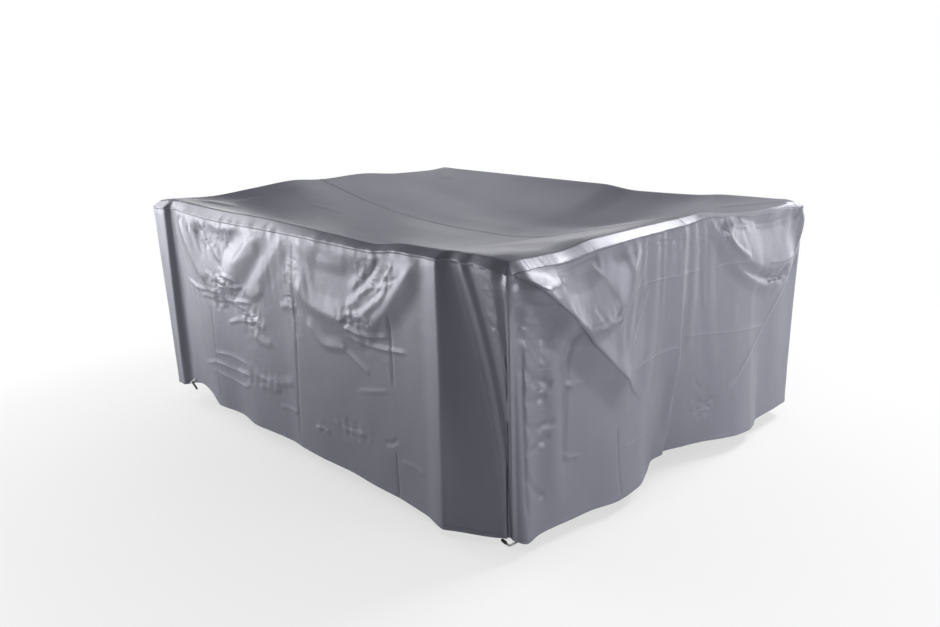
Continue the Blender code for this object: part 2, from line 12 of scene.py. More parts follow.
import bmesh
import bpy
import numpy as np
from mathutils import Matrix, Vector


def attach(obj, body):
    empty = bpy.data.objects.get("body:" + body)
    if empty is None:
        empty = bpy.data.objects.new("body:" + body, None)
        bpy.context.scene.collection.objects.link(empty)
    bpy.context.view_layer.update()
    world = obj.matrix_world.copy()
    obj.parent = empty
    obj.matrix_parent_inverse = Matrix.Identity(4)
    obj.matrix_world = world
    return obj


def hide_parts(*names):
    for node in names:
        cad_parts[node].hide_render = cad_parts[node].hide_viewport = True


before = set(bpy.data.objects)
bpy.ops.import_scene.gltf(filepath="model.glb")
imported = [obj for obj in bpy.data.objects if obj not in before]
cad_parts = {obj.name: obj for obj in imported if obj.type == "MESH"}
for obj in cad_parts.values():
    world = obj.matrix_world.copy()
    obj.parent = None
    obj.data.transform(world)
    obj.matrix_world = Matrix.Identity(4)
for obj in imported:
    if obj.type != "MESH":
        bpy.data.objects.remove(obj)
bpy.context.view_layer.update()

bl_info = {
    "name": "Patio Furniture Cover",
    "version": (1, 0, 0),
    "blender": (4, 5, 0),
    "location": "3D Viewport > Sidebar > Cover",
    "description": "Makes a draped patio furniture cover with its seams, stitches and ties",
    "category": "Add Mesh",
}

# The cover's own sizes, as the packed model has them.
LENGTH = 2.12
WIDTH = 1.72
ORIGIN_HEIGHT = 0.775
ROLL = 0.030
RIM_BLEND = 0.09
SAG_DEPTH = 0.16
SAG_POWER_X = 1.9
SAG_POWER_Y = 2.3
CORNER_ROUND_SEAM = ROLL
CORNER_ROUND_HEM = 0.06
RIM_POWER = 1.85

# How strokes look: the share of a course over which its ends fade, the power of a keen flank, how
# far a sharp crease reaches in the cloth's bump and in its painted crease tone (painted shade in a
# trough, and on a ridge a paler line that is partly wear and partly painted highlight), the share of
# the drop below the seam over which drapes grow and the distance over which creases do, and the
# points that a course is cut into.
DRAPE_FADE = 0.14
KEEN_POWER = 1.25
CREASE_REACH = 0.016
STROKES_START = 0.06
CREASES_START = 0.03
COURSE_POINTS = 21

# Soft dents all over the sides, on lattices that reach up to this height.
Dent = namedtuple("Dent", "across down rise seed")
DENTS = (
    Dent(0.085, 0.13, 0.0011, 11),
    Dent(0.034, 0.06, 0.00035, 12),
)
DENT_TOP = 1.2

# How finely the pieces are divided. EDGE_STEPS are distances from a panel's ends and HEM_STEPS
# from its hem, which take the shortest drop as their measure.
COLUMN_STEP = {"front": 0.0060, "right": 0.0055, "back": 0.0090, "left": 0.0090}
ROW_COUNT = {"front": 128, "right": 148, "back": 84, "left": 84}
ROW_CROWDING = 1.15
TOP_STEP = 0.011
ROLL_SPLIT = (0.0, 0.06, 0.14, 0.23, 0.34, 0.46, 0.6, 0.78, 1.0)
EDGE_STEPS = (0.0, 0.0015, 0.003, 0.0045, 0.006, 0.009)
EDGE_INSET = 1e-5
HEM_STEPS = (0.0, 0.001, 0.004, 0.008, 0.012, 0.0148, 0.0162, 0.0185, 0.022)
HEM_CLEAR = 0.003
SHORTEST_DROP = 0.82

# How the sides settle: grid, spare cloth, and how firmly the drawn folds hold it, which grows
# from HOLD_HEM_FROM of the way down to the hem.
SETTLE_ORDER = ("left", "front", "right", "back")
SETTLE_STEP = {"front": 0.0115, "right": 0.0110, "back": 0.0180, "left": 0.0180}
SETTLE_ROWS = 74
SETTLE_FRAMES = 24
SETTLE_WEIGHT = 0.3
SETTLE_FIXED = 0.001
SPARE_ACROSS = 0.012
SPARE_DOWN = 0.008
SPARE_PATCH = 0.014
HOLD = 0.25
HOLD_HEM = 0.3
HOLD_HEM_FROM = 0.85
CLOTH_RULES = {
    "quality": 5,
    "mass": 0.15,
    "air_damping": 3.0,
    "bending_model": "ANGULAR",
    "tension_stiffness": 60,
    "compression_stiffness": 60,
    "shear_stiffness": 20,
    "bending_stiffness": 1.6,
    "tension_damping": 10,
    "compression_damping": 10,
    "shear_damping": 10,
    "bending_damping": 0.5,
    "pin_stiffness": 1.0,
    "shrink_min": -SPARE_PATCH,
    "shrink_max": 0.0,
}

# Seams, hem and stitches.
LAP = (0.0015, 0.0045, 0.0075)
LAP_RISE = 0.0016
LAP_FADE = 0.03
SEAM_RIDGE = 0.0008
SEAM_RIDGE_HALF = 0.0055
RIM_CRUMPLE = 0.10
RIM_CRUMPLE_WIDTH = 0.05
TOP_LAP = 0.0065
TOP_LAP_RISE = 0.0014
TOP_SEAM_LINES = (-0.0055, -0.0045, -0.003, -0.0015, 0.0, 0.0022, 0.0045, 0.0066, 0.0078)
TOP_SEAM_STITCHES = (0.0022, 0.0066)
TOP_TUCK = -0.003
HEM_STITCH_ROW = 4
CORNER_STITCH_COLUMN = 4
CORNER_STITCH_ROWS = slice(1, -4)
HEM_WIDTH = 0.0155
HEM_RISE = 0.0007
HEM_STEP = 0.002
STITCH_SPACING = 0.0032
STITCH_LENGTH = 0.0026
STITCH_WIDTH = 0.0006
STITCH_HEIGHT = 0.0003
STITCH_END = 0.2

# A side: its left corner in plan, the way along it, its outward normal and its length.
Side = namedtuple("Side", "corner direction normal length")
SIDES = {
    "front": Side((-LENGTH / 2, -WIDTH / 2), (1, 0), (0, -1), LENGTH),
    "right": Side((LENGTH / 2, -WIDTH / 2), (0, 1), (1, 0), WIDTH),
    "back": Side((LENGTH / 2, WIDTH / 2), (-1, 0), (0, 1), LENGTH),
    "left": Side((-LENGTH / 2, WIDTH / 2), (0, -1), (-1, 0), WIDTH),
}
SIDE_START = dict(zip(SIDES, np.cumsum([0, LENGTH, WIDTH, LENGTH])))
CORNER_WAYS = np.array(list(SIDE_START.values()))
GIRTH = 2 * (LENGTH + WIDTH)
TURNS = (-GIRTH, 0.0, GIRTH)

# The rim: along the side, height of its crest, and how far below the crest the seam runs.
Rim = namedtuple("Rim", "along crest depth")
RIM = {
    "front": (
        Rim(-1.060, 0.902, 0.024),
        Rim(-0.950, 0.905, 0.027),
        Rim(-0.850, 0.914, 0.030),
        Rim(-0.550, 0.912, 0.041),
        Rim(-0.250, 0.916, 0.043),
        Rim(0.000, 0.912, 0.037),
        Rim(0.270, 0.903, 0.031),
        Rim(0.430, 0.897, 0.026),
        Rim(0.600, 0.914, 0.025),
        Rim(0.800, 0.914, 0.023),
        Rim(0.950, 0.914, 0.023),
    ),
    "right": (
        Rim(-0.860, 0.903, 0.024),
        Rim(-0.800, 0.910, 0.025),
        Rim(-0.620, 0.911, 0.027),
        Rim(-0.460, 0.929, 0.030),
        Rim(-0.200, 0.934, 0.028),
        Rim(0.050, 0.936, 0.022),
        Rim(0.130, 0.938, 0.016),
        Rim(0.290, 0.917, 0.012),
        Rim(0.500, 0.897, 0.010),
        Rim(0.750, 0.890, 0.010),
    ),
    "back": (
        Rim(-1.060, 0.892, 0.014),
        Rim(-0.990, 0.903, 0.024),
        Rim(-0.727, 0.905, 0.030),
        Rim(-0.580, 0.895, 0.030),
        Rim(-0.270, 0.891, 0.028),
        Rim(-0.070, 0.909, 0.032),
        Rim(0.350, 0.910, 0.034),
        Rim(0.780, 0.908, 0.030),
    ),
    "left": (
        Rim(-0.860, 0.906, 0.026),
        Rim(-0.750, 0.900, 0.028),
        Rim(-0.500, 0.906, 0.032),
        Rim(-0.235, 0.928, 0.034),
        Rim(-0.020, 0.922, 0.034),
        Rim(0.158, 0.933, 0.036),
        Rim(0.380, 0.916, 0.034),
        Rim(0.610, 0.899, 0.030),
        Rim(0.800, 0.905, 0.026),
    ),
}

# The upright folds: along at the seam, half way down and at the hem; out at the same levels; hem.
Fold = namedtuple("Fold", "along along_mid along_hem out out_mid out_hem hem")
FOLDS = {
    "front": (
        Fold(-1.060, -1.060, -1.060, 0.013, 0.001, -0.008, 0.078),
        Fold(-1.005, -1.000, -0.995, 0.006, 0.000, -0.012, 0.078),
        Fold(-0.962, -0.960, -0.958, 0.004, 0.001, -0.008, 0.080),
        Fold(-0.930, -0.930, -0.930, -0.014, -0.024, -0.032, 0.085),
        Fold(-0.880, -0.878, -0.875, -0.004, -0.014, -0.024, 0.104),
        Fold(-0.800, -0.800, -0.800, 0.003, -0.002, -0.022, 0.116),
        Fold(-0.720, -0.720, -0.720, 0.003, 0.003, -0.016, 0.100),
        Fold(-0.640, -0.640, -0.635, 0.002, 0.004, -0.008, 0.064),
        Fold(-0.480, -0.480, -0.480, 0.002, 0.000, -0.020, 0.064),
        Fold(-0.350, -0.350, -0.350, 0.002, 0.002, -0.006, 0.054),
        Fold(-0.220, -0.220, -0.220, 0.000, 0.004, -0.010, 0.056),
        Fold(-0.100, -0.100, -0.100, 0.002, 0.000, -0.012, 0.058),
        Fold(0.000, 0.000, 0.000, 0.002, 0.004, -0.004, 0.056),
        Fold(0.120, 0.120, 0.120, 0.000, 0.003, 0.000, 0.054),
        Fold(0.280, 0.280, 0.280, 0.000, 0.002, -0.002, 0.055),
        Fold(0.420, 0.420, 0.420, 0.000, 0.002, 0.003, 0.050),
        Fold(0.560, 0.560, 0.560, 0.001, 0.004, 0.008, 0.050),
        Fold(0.680, 0.700, 0.720, 0.003, 0.014, 0.026, 0.050),
        Fold(0.778, 0.808, 0.822, 0.012, 0.034, 0.050, 0.048),
        Fold(0.790, 0.822, 0.838, -0.004, 0.012, 0.036, 0.047),
        Fold(0.800, 0.860, 0.905, -0.010, -0.014, 0.012, 0.047),
        Fold(0.814, 0.925, 1.000, -0.012, -0.042, -0.034, 0.053),
        Fold(0.862, 0.975, 1.034, -0.002, -0.035, -0.028, 0.057),
        Fold(0.888, 0.992, 1.042, -0.012, -0.044, -0.038, 0.058),
        Fold(0.930, 1.004, 1.050, -0.004, -0.037, -0.036, 0.058),
        Fold(0.985, 1.022, 1.060, 0.001, -0.033, -0.036, 0.058),
        Fold(1.028, 1.040, 1.072, -0.010, -0.038, -0.036, 0.057),
    ),
    "right": (
        Fold(-0.860, -0.852, -0.836, 0.000, -0.012, -0.024, 0.054),
        Fold(-0.832, -0.826, -0.814, -0.008, -0.017, -0.018, 0.049),
        Fold(-0.792, -0.790, -0.785, 0.002, 0.000, 0.004, 0.043),
        Fold(-0.725, -0.725, -0.725, 0.000, -0.010, -0.004, 0.048),
        Fold(-0.660, -0.660, -0.655, 0.003, 0.006, 0.000, 0.050),
        Fold(-0.600, -0.600, -0.600, -0.001, -0.008, 0.006, 0.050),
        Fold(-0.500, -0.500, -0.500, 0.001, 0.004, 0.014, 0.050),
        Fold(-0.375, -0.375, -0.375, 0.001, 0.010, 0.036, 0.048),
        Fold(-0.250, -0.250, -0.250, 0.001, 0.008, 0.024, 0.050),
        Fold(-0.160, -0.160, -0.160, 0.000, 0.000, -0.010, 0.062),
        Fold(-0.080, -0.075, -0.070, 0.000, -0.004, -0.046, 0.070),
        Fold(-0.010, -0.010, -0.010, 0.004, 0.008, -0.048, 0.068),
        Fold(0.020, 0.020, 0.020, 0.002, -0.014, -0.068, 0.064),
        Fold(0.100, 0.100, 0.100, 0.000, -0.010, -0.046, 0.064),
        Fold(0.200, 0.200, 0.200, 0.002, -0.004, -0.014, 0.064),
        Fold(0.290, 0.290, 0.290, 0.000, 0.004, 0.024, 0.062),
        Fold(0.370, 0.370, 0.370, 0.002, 0.010, 0.044, 0.058),
        Fold(0.460, 0.460, 0.460, 0.000, 0.010, 0.040, 0.050),
        Fold(0.515, 0.515, 0.515, 0.000, 0.004, 0.026, 0.050),
        Fold(0.560, 0.560, 0.560, 0.000, 0.002, 0.010, 0.058),
        Fold(0.680, 0.680, 0.680, 0.001, 0.004, 0.010, 0.060),
        Fold(0.800, 0.800, 0.800, 0.000, 0.000, 0.004, 0.062),
    ),
    "back": (
        Fold(-1.060, -1.060, -1.060, 0.008, 0.002, -0.004, 0.060),
        Fold(-0.980, -0.980, -0.975, 0.002, -0.004, -0.018, 0.058),
        Fold(-0.900, -0.895, -0.890, -0.004, -0.030, -0.040, 0.060),
        Fold(-0.800, -0.790, -0.780, 0.002, 0.004, -0.010, 0.064),
        Fold(-0.620, -0.620, -0.620, 0.000, 0.010, 0.020, 0.056),
        Fold(-0.470, -0.470, -0.465, 0.000, -0.008, -0.030, 0.066),
        Fold(-0.300, -0.300, -0.300, 0.002, 0.006, 0.006, 0.058),
        Fold(-0.120, -0.120, -0.120, 0.000, 0.012, 0.030, 0.052),
        Fold(0.020, 0.020, 0.020, 0.000, -0.006, -0.022, 0.062),
        Fold(0.160, 0.160, 0.160, 0.002, 0.002, 0.004, 0.060),
        Fold(0.340, 0.340, 0.340, 0.000, 0.010, 0.024, 0.054),
        Fold(0.500, 0.500, 0.495, 0.000, -0.010, -0.034, 0.066),
        Fold(0.660, 0.660, 0.660, 0.002, 0.004, -0.004, 0.060),
        Fold(0.800, 0.795, 0.790, 0.000, 0.012, 0.022, 0.054),
        Fold(0.900, 0.895, 0.890, -0.004, -0.026, -0.040, 0.058),
        Fold(0.980, 0.980, 0.975, 0.002, 0.000, -0.014, 0.058),
    ),
    "left": (
        Fold(-0.860, -0.860, -0.860, 0.006, -0.002, -0.010, 0.060),
        Fold(-0.790, -0.790, -0.785, 0.002, -0.004, -0.014, 0.060),
        Fold(-0.700, -0.695, -0.690, -0.003, -0.028, -0.042, 0.062),
        Fold(-0.580, -0.575, -0.570, 0.002, 0.008, 0.006, 0.056),
        Fold(-0.400, -0.400, -0.400, 0.000, 0.012, 0.030, 0.052),
        Fold(-0.240, -0.240, -0.240, 0.000, -0.006, -0.020, 0.064),
        Fold(-0.080, -0.080, -0.080, 0.002, 0.002, -0.006, 0.062),
        Fold(0.080, 0.080, 0.080, 0.000, 0.012, 0.024, 0.054),
        Fold(0.200, 0.200, 0.200, 0.000, -0.010, -0.036, 0.068),
        Fold(0.360, 0.360, 0.360, 0.002, 0.004, 0.004, 0.060),
        Fold(0.520, 0.520, 0.520, 0.000, 0.012, 0.028, 0.054),
        Fold(0.660, 0.660, 0.660, 0.000, -0.008, -0.018, 0.062),
        Fold(0.740, 0.745, 0.750, 0.002, 0.004, -0.004, 0.066),
        Fold(0.805, 0.810, 0.815, -0.002, -0.016, -0.028, 0.070),
    ),
}


def by_side(kind, table):
    """The rows of a table as named rows that start with the side they stand under."""
    return tuple(kind(side, *row) for side, rows in table for row in rows)


# A stroke is a ridge (or a trough, where rise is negative) along a course of (along, height)
# points. left and right are its half widths on either hand of the course; keen is 0 for a round
# ridge and 1 for one with straight flanks that meet in a sharp crest.
Stroke = namedtuple("Stroke", "side rise left right keen course")
DRAPES = by_side(Stroke, (
    ("front", (
        # The left swag and the soft ridge beside it, then the middle swag.
        (0.011, 0.100, 0.090, 0.1,
         ((-0.84, 0.90), (-0.66, 0.67), (-0.54, 0.60), (-0.42, 0.68), (-0.18, 0.90))),
        (-0.006, 0.060, 0.080, 0.0, ((-0.72, 0.85), (-0.47, 0.79), (-0.24, 0.85))),
        (0.004, 0.070, 0.070, 0.0, ((-0.05, 0.87), (-0.19, 0.71), (-0.31, 0.59))),
        (0.011, 0.110, 0.095, 0.1,
         ((-0.02, 0.80), (0.07, 0.69), (0.20, 0.625), (0.34, 0.605), (0.46, 0.665), (0.575, 0.76),
          (0.71, 0.90))),
        (-0.006, 0.060, 0.080, 0.0, ((0.10, 0.84), (0.33, 0.78), (0.55, 0.84))),
    )),
    ("right", (
        # The cloth that hangs over the near corner, its swag, the far swag and its limb.
        (0.034, 0.200, 0.100, 0.9,
         ((-0.92, 0.955), (-0.84, 0.885), (-0.70, 0.775), (-0.53, 0.630), (-0.40, 0.500),
          (-0.28, 0.390))),
        (0.030, 0.165, 0.060, 0.6,
         ((-0.82, 0.90), (-0.66, 0.735), (-0.53, 0.672), (-0.38, 0.695), (-0.27, 0.90))),
        (0.026, 0.165, 0.040, 0.5,
         ((0.20, 0.91), (0.33, 0.775), (0.46, 0.705), (0.62, 0.668), (0.80, 0.675))),
        (0.014, 0.034, 0.045, 0.7,
         ((0.15, 0.91), (0.30, 0.75), (0.45, 0.65), (0.60, 0.60), (0.74, 0.585))),
        (0.008, 0.090, 0.030, 0.3, ((0.71, 0.58), (0.77, 0.66), (0.81, 0.74), (0.87, 0.88))),
        (-0.012, 0.026, 0.034, 0.1, ((0.36, 0.872), (0.60, 0.848), (0.85, 0.868))),
    )),
    ("back", (
        # Two swags, as on the left side.
        (0.014, 0.110, 0.050, 0.2,
         ((-0.70, 0.89), (-0.52, 0.70), (-0.34, 0.63), (-0.12, 0.72), (0.04, 0.90))),
        (0.014, 0.110, 0.050, 0.2,
         ((0.12, 0.90), (0.32, 0.70), (0.50, 0.61), (0.66, 0.68), (0.84, 0.90))),
    )),
    ("left", (
        (0.014, 0.110, 0.050, 0.2,
         ((-0.62, 0.89), (-0.40, 0.68), (-0.22, 0.64), (-0.02, 0.74), (0.10, 0.91))),
        (0.012, 0.090, 0.045, 0.2, ((0.20, 0.90), (0.38, 0.72), (0.52, 0.66), (0.68, 0.90))),
    )),
))

# The finer creases and ridges on the drapes.
CREASES = by_side(Stroke, (
    ("front", (
        # The bands that shine in the left swag, each with its crest along the lower edge.
        (0.0085, 0.050, 0.034, 0.9, ((-0.83, 0.875), (-0.73, 0.715), (-0.62, 0.590))),
        (0.0060, 0.040, 0.028, 0.8, ((-0.69, 0.885), (-0.60, 0.795), (-0.49, 0.695))),
        (0.0035, 0.034, 0.030, 0.5, ((-0.60, 0.875), (-0.50, 0.845), (-0.38, 0.865))),
        (0.0042, 0.030, 0.080, 0.7, ((-0.42, 0.690), (-0.29, 0.804), (-0.16, 0.880))),
        (0.0028, 0.046, 0.055, 0.7, ((-0.34, 0.590), (-0.21, 0.690), (-0.05, 0.860))),
        (0.0040, 0.040, 0.026, 0.8, ((-0.36, 0.620), (-0.29, 0.600), (-0.20, 0.640))),
        # The wrinkles under the left swag.
        (0.0034, 0.013, 0.012, 1.0, ((-0.63, 0.655), (-0.56, 0.640), (-0.48, 0.655), (-0.37, 0.640))),
        (0.0045, 0.014, 0.014, 0.8, ((-0.60, 0.620), (-0.53, 0.632), (-0.44, 0.615), (-0.35, 0.628))),
        (0.0040, 0.015, 0.012, 1.0,
         ((-0.82, 0.600), (-0.70, 0.570), (-0.58, 0.578), (-0.44, 0.560), (-0.28, 0.575))),
        (0.0032, 0.013, 0.012, 1.0, ((-0.70, 0.548), (-0.58, 0.545), (-0.46, 0.552), (-0.34, 0.535))),
        (0.0040, 0.015, 0.012, 1.0, ((-0.50, 0.455), (-0.40, 0.485), (-0.30, 0.498), (-0.24, 0.520))),
        (0.0042, 0.026, 0.020, 0.7, ((-0.33, 0.535), (-0.27, 0.500), (-0.21, 0.480))),
        (0.0036, 0.030, 0.022, 0.6, ((-0.30, 0.450), (-0.24, 0.425), (-0.17, 0.430))),
        (0.0030, 0.024, 0.014, 0.7, ((-0.10, 0.590), (-0.04, 0.603), (0.01, 0.600))),
        # The bands of the middle swag.
        (0.0085, 0.066, 0.045, 0.8, ((0.01, 0.700), (0.13, 0.635), (0.33, 0.610))),
        (0.0040, 0.060, 0.040, 0.4, ((0.02, 0.865), (0.16, 0.800), (0.33, 0.800))),
        (0.0060, 0.045, 0.026, 0.9, ((0.07, 0.575), (0.19, 0.503), (0.31, 0.520))),
        (0.0040, 0.016, 0.013, 1.0, ((0.27, 0.520), (0.35, 0.485), (0.43, 0.450))),
        (0.0042, 0.028, 0.060, 0.7, ((0.40, 0.600), (0.49, 0.655), (0.585, 0.755), (0.70, 0.895))),
        (0.0042, 0.036, 0.030, 0.7, ((0.31, 0.650), (0.42, 0.740), (0.53, 0.855))),
        (0.0034, 0.026, 0.020, 0.8, ((0.31, 0.612), (0.42, 0.665), (0.53, 0.745))),
        (0.0032, 0.030, 0.024, 0.6, ((0.33, 0.720), (0.42, 0.800), (0.50, 0.880))),
        (0.0042, 0.016, 0.013, 1.0, ((0.29, 0.597), (0.41, 0.585), (0.54, 0.603))),
        (0.0036, 0.014, 0.013, 1.0, ((0.29, 0.572), (0.45, 0.553), (0.63, 0.568))),
        (0.0035, 0.014, 0.014, 0.8, ((0.30, 0.640), (0.38, 0.648), (0.45, 0.632))),
        # The low wrinkles.
        (0.0026, 0.012, 0.012, 1.0, ((-0.64, 0.305), (-0.51, 0.316), (-0.37, 0.308))),
        (0.0030, 0.013, 0.012, 1.0, ((-0.74, 0.230), (-0.61, 0.264), (-0.46, 0.260), (-0.33, 0.266))),
        (0.0028, 0.012, 0.012, 1.0, ((-0.68, 0.222), (-0.53, 0.213), (-0.42, 0.204), (-0.35, 0.228))),
        (0.0036, 0.032, 0.026, 0.6, ((-0.35, 0.300), (-0.25, 0.268), (-0.13, 0.288), (-0.03, 0.312))),
        (0.0036, 0.030, 0.018, 0.7, ((-0.30, 0.238), (-0.21, 0.242), (-0.13, 0.262))),
        (0.0030, 0.014, 0.012, 0.8, ((-0.16, 0.184), (-0.09, 0.193), (-0.03, 0.189))),
        (0.0024, 0.012, 0.011, 0.9, ((0.18, 0.222), (0.30, 0.211), (0.40, 0.226))),
        (0.0040, 0.015, 0.012, 0.8, ((0.08, 0.162), (0.13, 0.176), (0.18, 0.164))),
        (0.0024, 0.014, 0.011, 0.9, ((0.35, 0.372), (0.43, 0.392), (0.52, 0.412))),
        (-0.0040, 0.012, 0.012, 0.8, ((0.49, 0.228), (0.53, 0.236), (0.565, 0.262))),
        (0.0030, 0.014, 0.012, 0.7, ((0.58, 0.186), (0.63, 0.190), (0.68, 0.184))),
        # The narrow pleat beside the near corner's seam.
        (0.0060, 0.010, 0.012, 0.9, ((0.998, 0.64), (1.022, 0.54), (1.046, 0.42))),
        # The creases from its folding.
        (-0.0018, 0.012, 0.012, 1.0, ((0.004, 0.86), (0.000, 0.70), (-0.003, 0.48))),
        (-0.0033, 0.011, 0.014, 1.0, ((-0.001, 0.53), (-0.012, 0.36), (-0.024, 0.20), (-0.030, 0.08))),
        (-0.0024, 0.011, 0.012, 1.0, ((0.543, 0.84), (0.543, 0.790), (0.543, 0.74))),
        (-0.0030, 0.011, 0.012, 1.0, ((0.540, 0.69), (0.543, 0.560), (0.546, 0.42))),
        (-0.0027, 0.011, 0.012, 1.0, ((0.552, 0.22), (0.556, 0.130), (0.560, 0.04))),
        (-0.0014, 0.012, 0.012, 1.0, ((-0.620, 0.56), (-0.622, 0.300), (-0.625, 0.07))),
    )),
    ("right", (
        # The edge that runs down from the near corner, over the cloth below it.
        (0.0045, 0.050, 0.007, 0.9,
         ((-0.90, 0.925), (-0.70, 0.775), (-0.50, 0.600), (-0.35, 0.460), (-0.22, 0.345))),
        (-0.0010, 0.007, 0.009, 1.0,
         ((-0.87, 0.902), (-0.70, 0.771), (-0.50, 0.596), (-0.35, 0.456), (-0.24, 0.358))),
        (-0.0010, 0.009, 0.012, 0.8, ((-0.30, 0.405), (-0.22, 0.335), (-0.13, 0.250))),
        (-0.0120, 0.050, 0.060, 0.2, ((-0.68, 0.862), (-0.57, 0.838), (-0.45, 0.866))),
        (0.0050, 0.022, 0.016, 0.7, ((-0.53, 0.672), (-0.46, 0.662), (-0.37, 0.690))),
        (0.0040, 0.016, 0.014, 0.8, ((-0.50, 0.695), (-0.43, 0.668), (-0.36, 0.662))),
        (0.0040, 0.024, 0.018, 0.7, ((-0.33, 0.715), (-0.27, 0.745), (-0.22, 0.860))),
        (0.0035, 0.020, 0.016, 0.7, ((-0.31, 0.560), (-0.25, 0.650), (-0.20, 0.740))),
        # The crumpled strip next to the near corner.
        (-0.0080, 0.014, 0.018, 0.9, ((-0.805, 0.70), (-0.800, 0.45), (-0.790, 0.10))),
        (-0.0045, 0.022, 0.018, 0.7, ((-0.83, 0.815), (-0.76, 0.775), (-0.70, 0.785))),
        (-0.0040, 0.020, 0.022, 0.7, ((-0.82, 0.705), (-0.75, 0.665), (-0.68, 0.676))),
        (-0.0055, 0.018, 0.026, 0.7, ((-0.81, 0.610), (-0.75, 0.556), (-0.67, 0.522))),
        (-0.0035, 0.024, 0.018, 0.7, ((-0.80, 0.500), (-0.74, 0.484), (-0.69, 0.500))),
        (-0.0050, 0.020, 0.024, 0.7, ((-0.80, 0.432), (-0.74, 0.396), (-0.66, 0.408))),
        (-0.0035, 0.022, 0.020, 0.7, ((-0.80, 0.330), (-0.75, 0.336), (-0.68, 0.362))),
        (-0.0050, 0.018, 0.024, 0.7, ((-0.80, 0.272), (-0.76, 0.215), (-0.70, 0.160))),
        (0.0030, 0.012, 0.012, 0.8, ((-0.81, 0.742), (-0.76, 0.728), (-0.70, 0.712))),
        (0.0025, 0.010, 0.010, 0.8, ((-0.79, 0.668), (-0.74, 0.612), (-0.70, 0.580))),
        (0.0030, 0.010, 0.012, 0.8, ((-0.80, 0.548), (-0.74, 0.510), (-0.68, 0.486))),
        (0.0022, 0.010, 0.010, 0.8, ((-0.79, 0.372), (-0.74, 0.352), (-0.70, 0.318))),
        (-0.0060, 0.014, 0.018, 0.8, ((-0.598, 0.69), (-0.600, 0.50), (-0.606, 0.35), (-0.612, 0.20))),
        (0.0030, 0.014, 0.012, 0.8, ((-0.63, 0.628), (-0.59, 0.604), (-0.56, 0.622))),
        (0.0025, 0.014, 0.012, 0.8, ((-0.62, 0.512), (-0.59, 0.492), (-0.56, 0.476))),
        (0.0025, 0.014, 0.012, 0.8, ((-0.63, 0.290), (-0.60, 0.262), (-0.54, 0.252))),
        # The creases from its folding.
        (0.0021, 0.012, 0.010, 1.0, ((-0.300, 0.732), (-0.200, 0.752), (-0.06, 0.746), (0.130, 0.742))),
        (0.0021, 0.012, 0.010, 1.0, ((0.20, 0.735), (0.30, 0.737), (0.40, 0.730))),
        (0.0018, 0.012, 0.010, 1.0, ((0.56, 0.700), (0.66, 0.690), (0.79, 0.700))),
        (0.0021, 0.012, 0.010, 1.0, ((-0.30, 0.472), (-0.15, 0.486), (-0.01, 0.490))),
        (0.0033, 0.015, 0.009, 1.0, ((0.00, 0.520), (0.20, 0.490), (0.38, 0.466), (0.60, 0.440))),
        (0.0012, 0.012, 0.010, 0.9, ((-0.68, 0.500), (-0.50, 0.490), (-0.33, 0.468))),
        (0.0033, 0.016, 0.010, 1.0, ((0.30, 0.240), (0.44, 0.335), (0.59, 0.440))),
        (0.0024, 0.014, 0.010, 1.0,
         ((0.57, 0.430), (0.68, 0.525), (0.75, 0.590), (0.80, 0.700), (0.87, 0.880))),
        (-0.0027, 0.012, 0.012, 1.0, ((-0.372, 0.315), (-0.370, 0.180), (-0.360, 0.040))),
        (0.0021, 0.012, 0.010, 1.0, ((-0.345, 0.224), (-0.265, 0.226), (-0.190, 0.228))),
        # The fold edge below the middle.
        (0.0050, 0.012, 0.040, 0.8, ((0.022, 0.52), (-0.012, 0.38), (-0.024, 0.26), (-0.010, 0.13))),
        (-0.0040, 0.009, 0.008, 1.0, ((0.028, 0.50), (0.000, 0.38), (-0.012, 0.26), (0.000, 0.15))),
        (-0.0030, 0.014, 0.012, 0.7, ((0.130, 0.335), (0.150, 0.300), (0.180, 0.278))),
        (-0.0030, 0.016, 0.014, 0.6, ((0.120, 0.245), (0.180, 0.225), (0.230, 0.190))),
        (-0.0025, 0.014, 0.012, 0.7, ((0.140, 0.190), (0.190, 0.205), (0.240, 0.240))),
        # In the far swag.
        (0.0050, 0.018, 0.014, 0.8, ((0.22, 0.870), (0.31, 0.795), (0.42, 0.735))),
        (0.0040, 0.018, 0.014, 0.8, ((0.56, 0.645), (0.65, 0.632), (0.74, 0.645))),
        (0.0040, 0.016, 0.014, 0.8, ((0.58, 0.615), (0.66, 0.608), (0.73, 0.612))),
        (0.0050, 0.020, 0.016, 0.7, ((0.26, 0.885), (0.36, 0.862), (0.48, 0.850))),
    )),
    ("back", (
        # The bands in the swags and the creases from its folding.
        (0.005, 0.050, 0.034, 0.8, ((-0.68, 0.86), (-0.58, 0.73), (-0.46, 0.645))),
        (0.005, 0.050, 0.034, 0.8, ((-0.30, 0.640), (-0.14, 0.735), (0.02, 0.880))),
        (0.005, 0.050, 0.034, 0.8, ((0.15, 0.86), (0.29, 0.71), (0.44, 0.625))),
        (0.005, 0.050, 0.034, 0.8, ((0.52, 0.620), (0.68, 0.715), (0.82, 0.885))),
        (-0.0027, 0.011, 0.012, 1.0, ((0.010, 0.80), (0.004, 0.50), (0.000, 0.08))),
        (-0.0024, 0.011, 0.012, 1.0, ((-0.560, 0.50), (-0.556, 0.30), (-0.550, 0.06))),
        (0.0024, 0.014, 0.010, 1.0, ((-0.92, 0.52), (-0.60, 0.49), (-0.28, 0.50))),
        (0.0024, 0.014, 0.010, 1.0, ((0.24, 0.46), (0.50, 0.45), (0.86, 0.48))),
    )),
    ("left", (
        (0.005, 0.050, 0.034, 0.8, ((-0.60, 0.87), (-0.46, 0.73), (-0.33, 0.650))),
        (0.005, 0.050, 0.034, 0.8, ((-0.18, 0.650), (-0.04, 0.740), (0.09, 0.890))),
        (0.0045, 0.045, 0.030, 0.8, ((0.24, 0.87), (0.36, 0.735), (0.48, 0.665))),
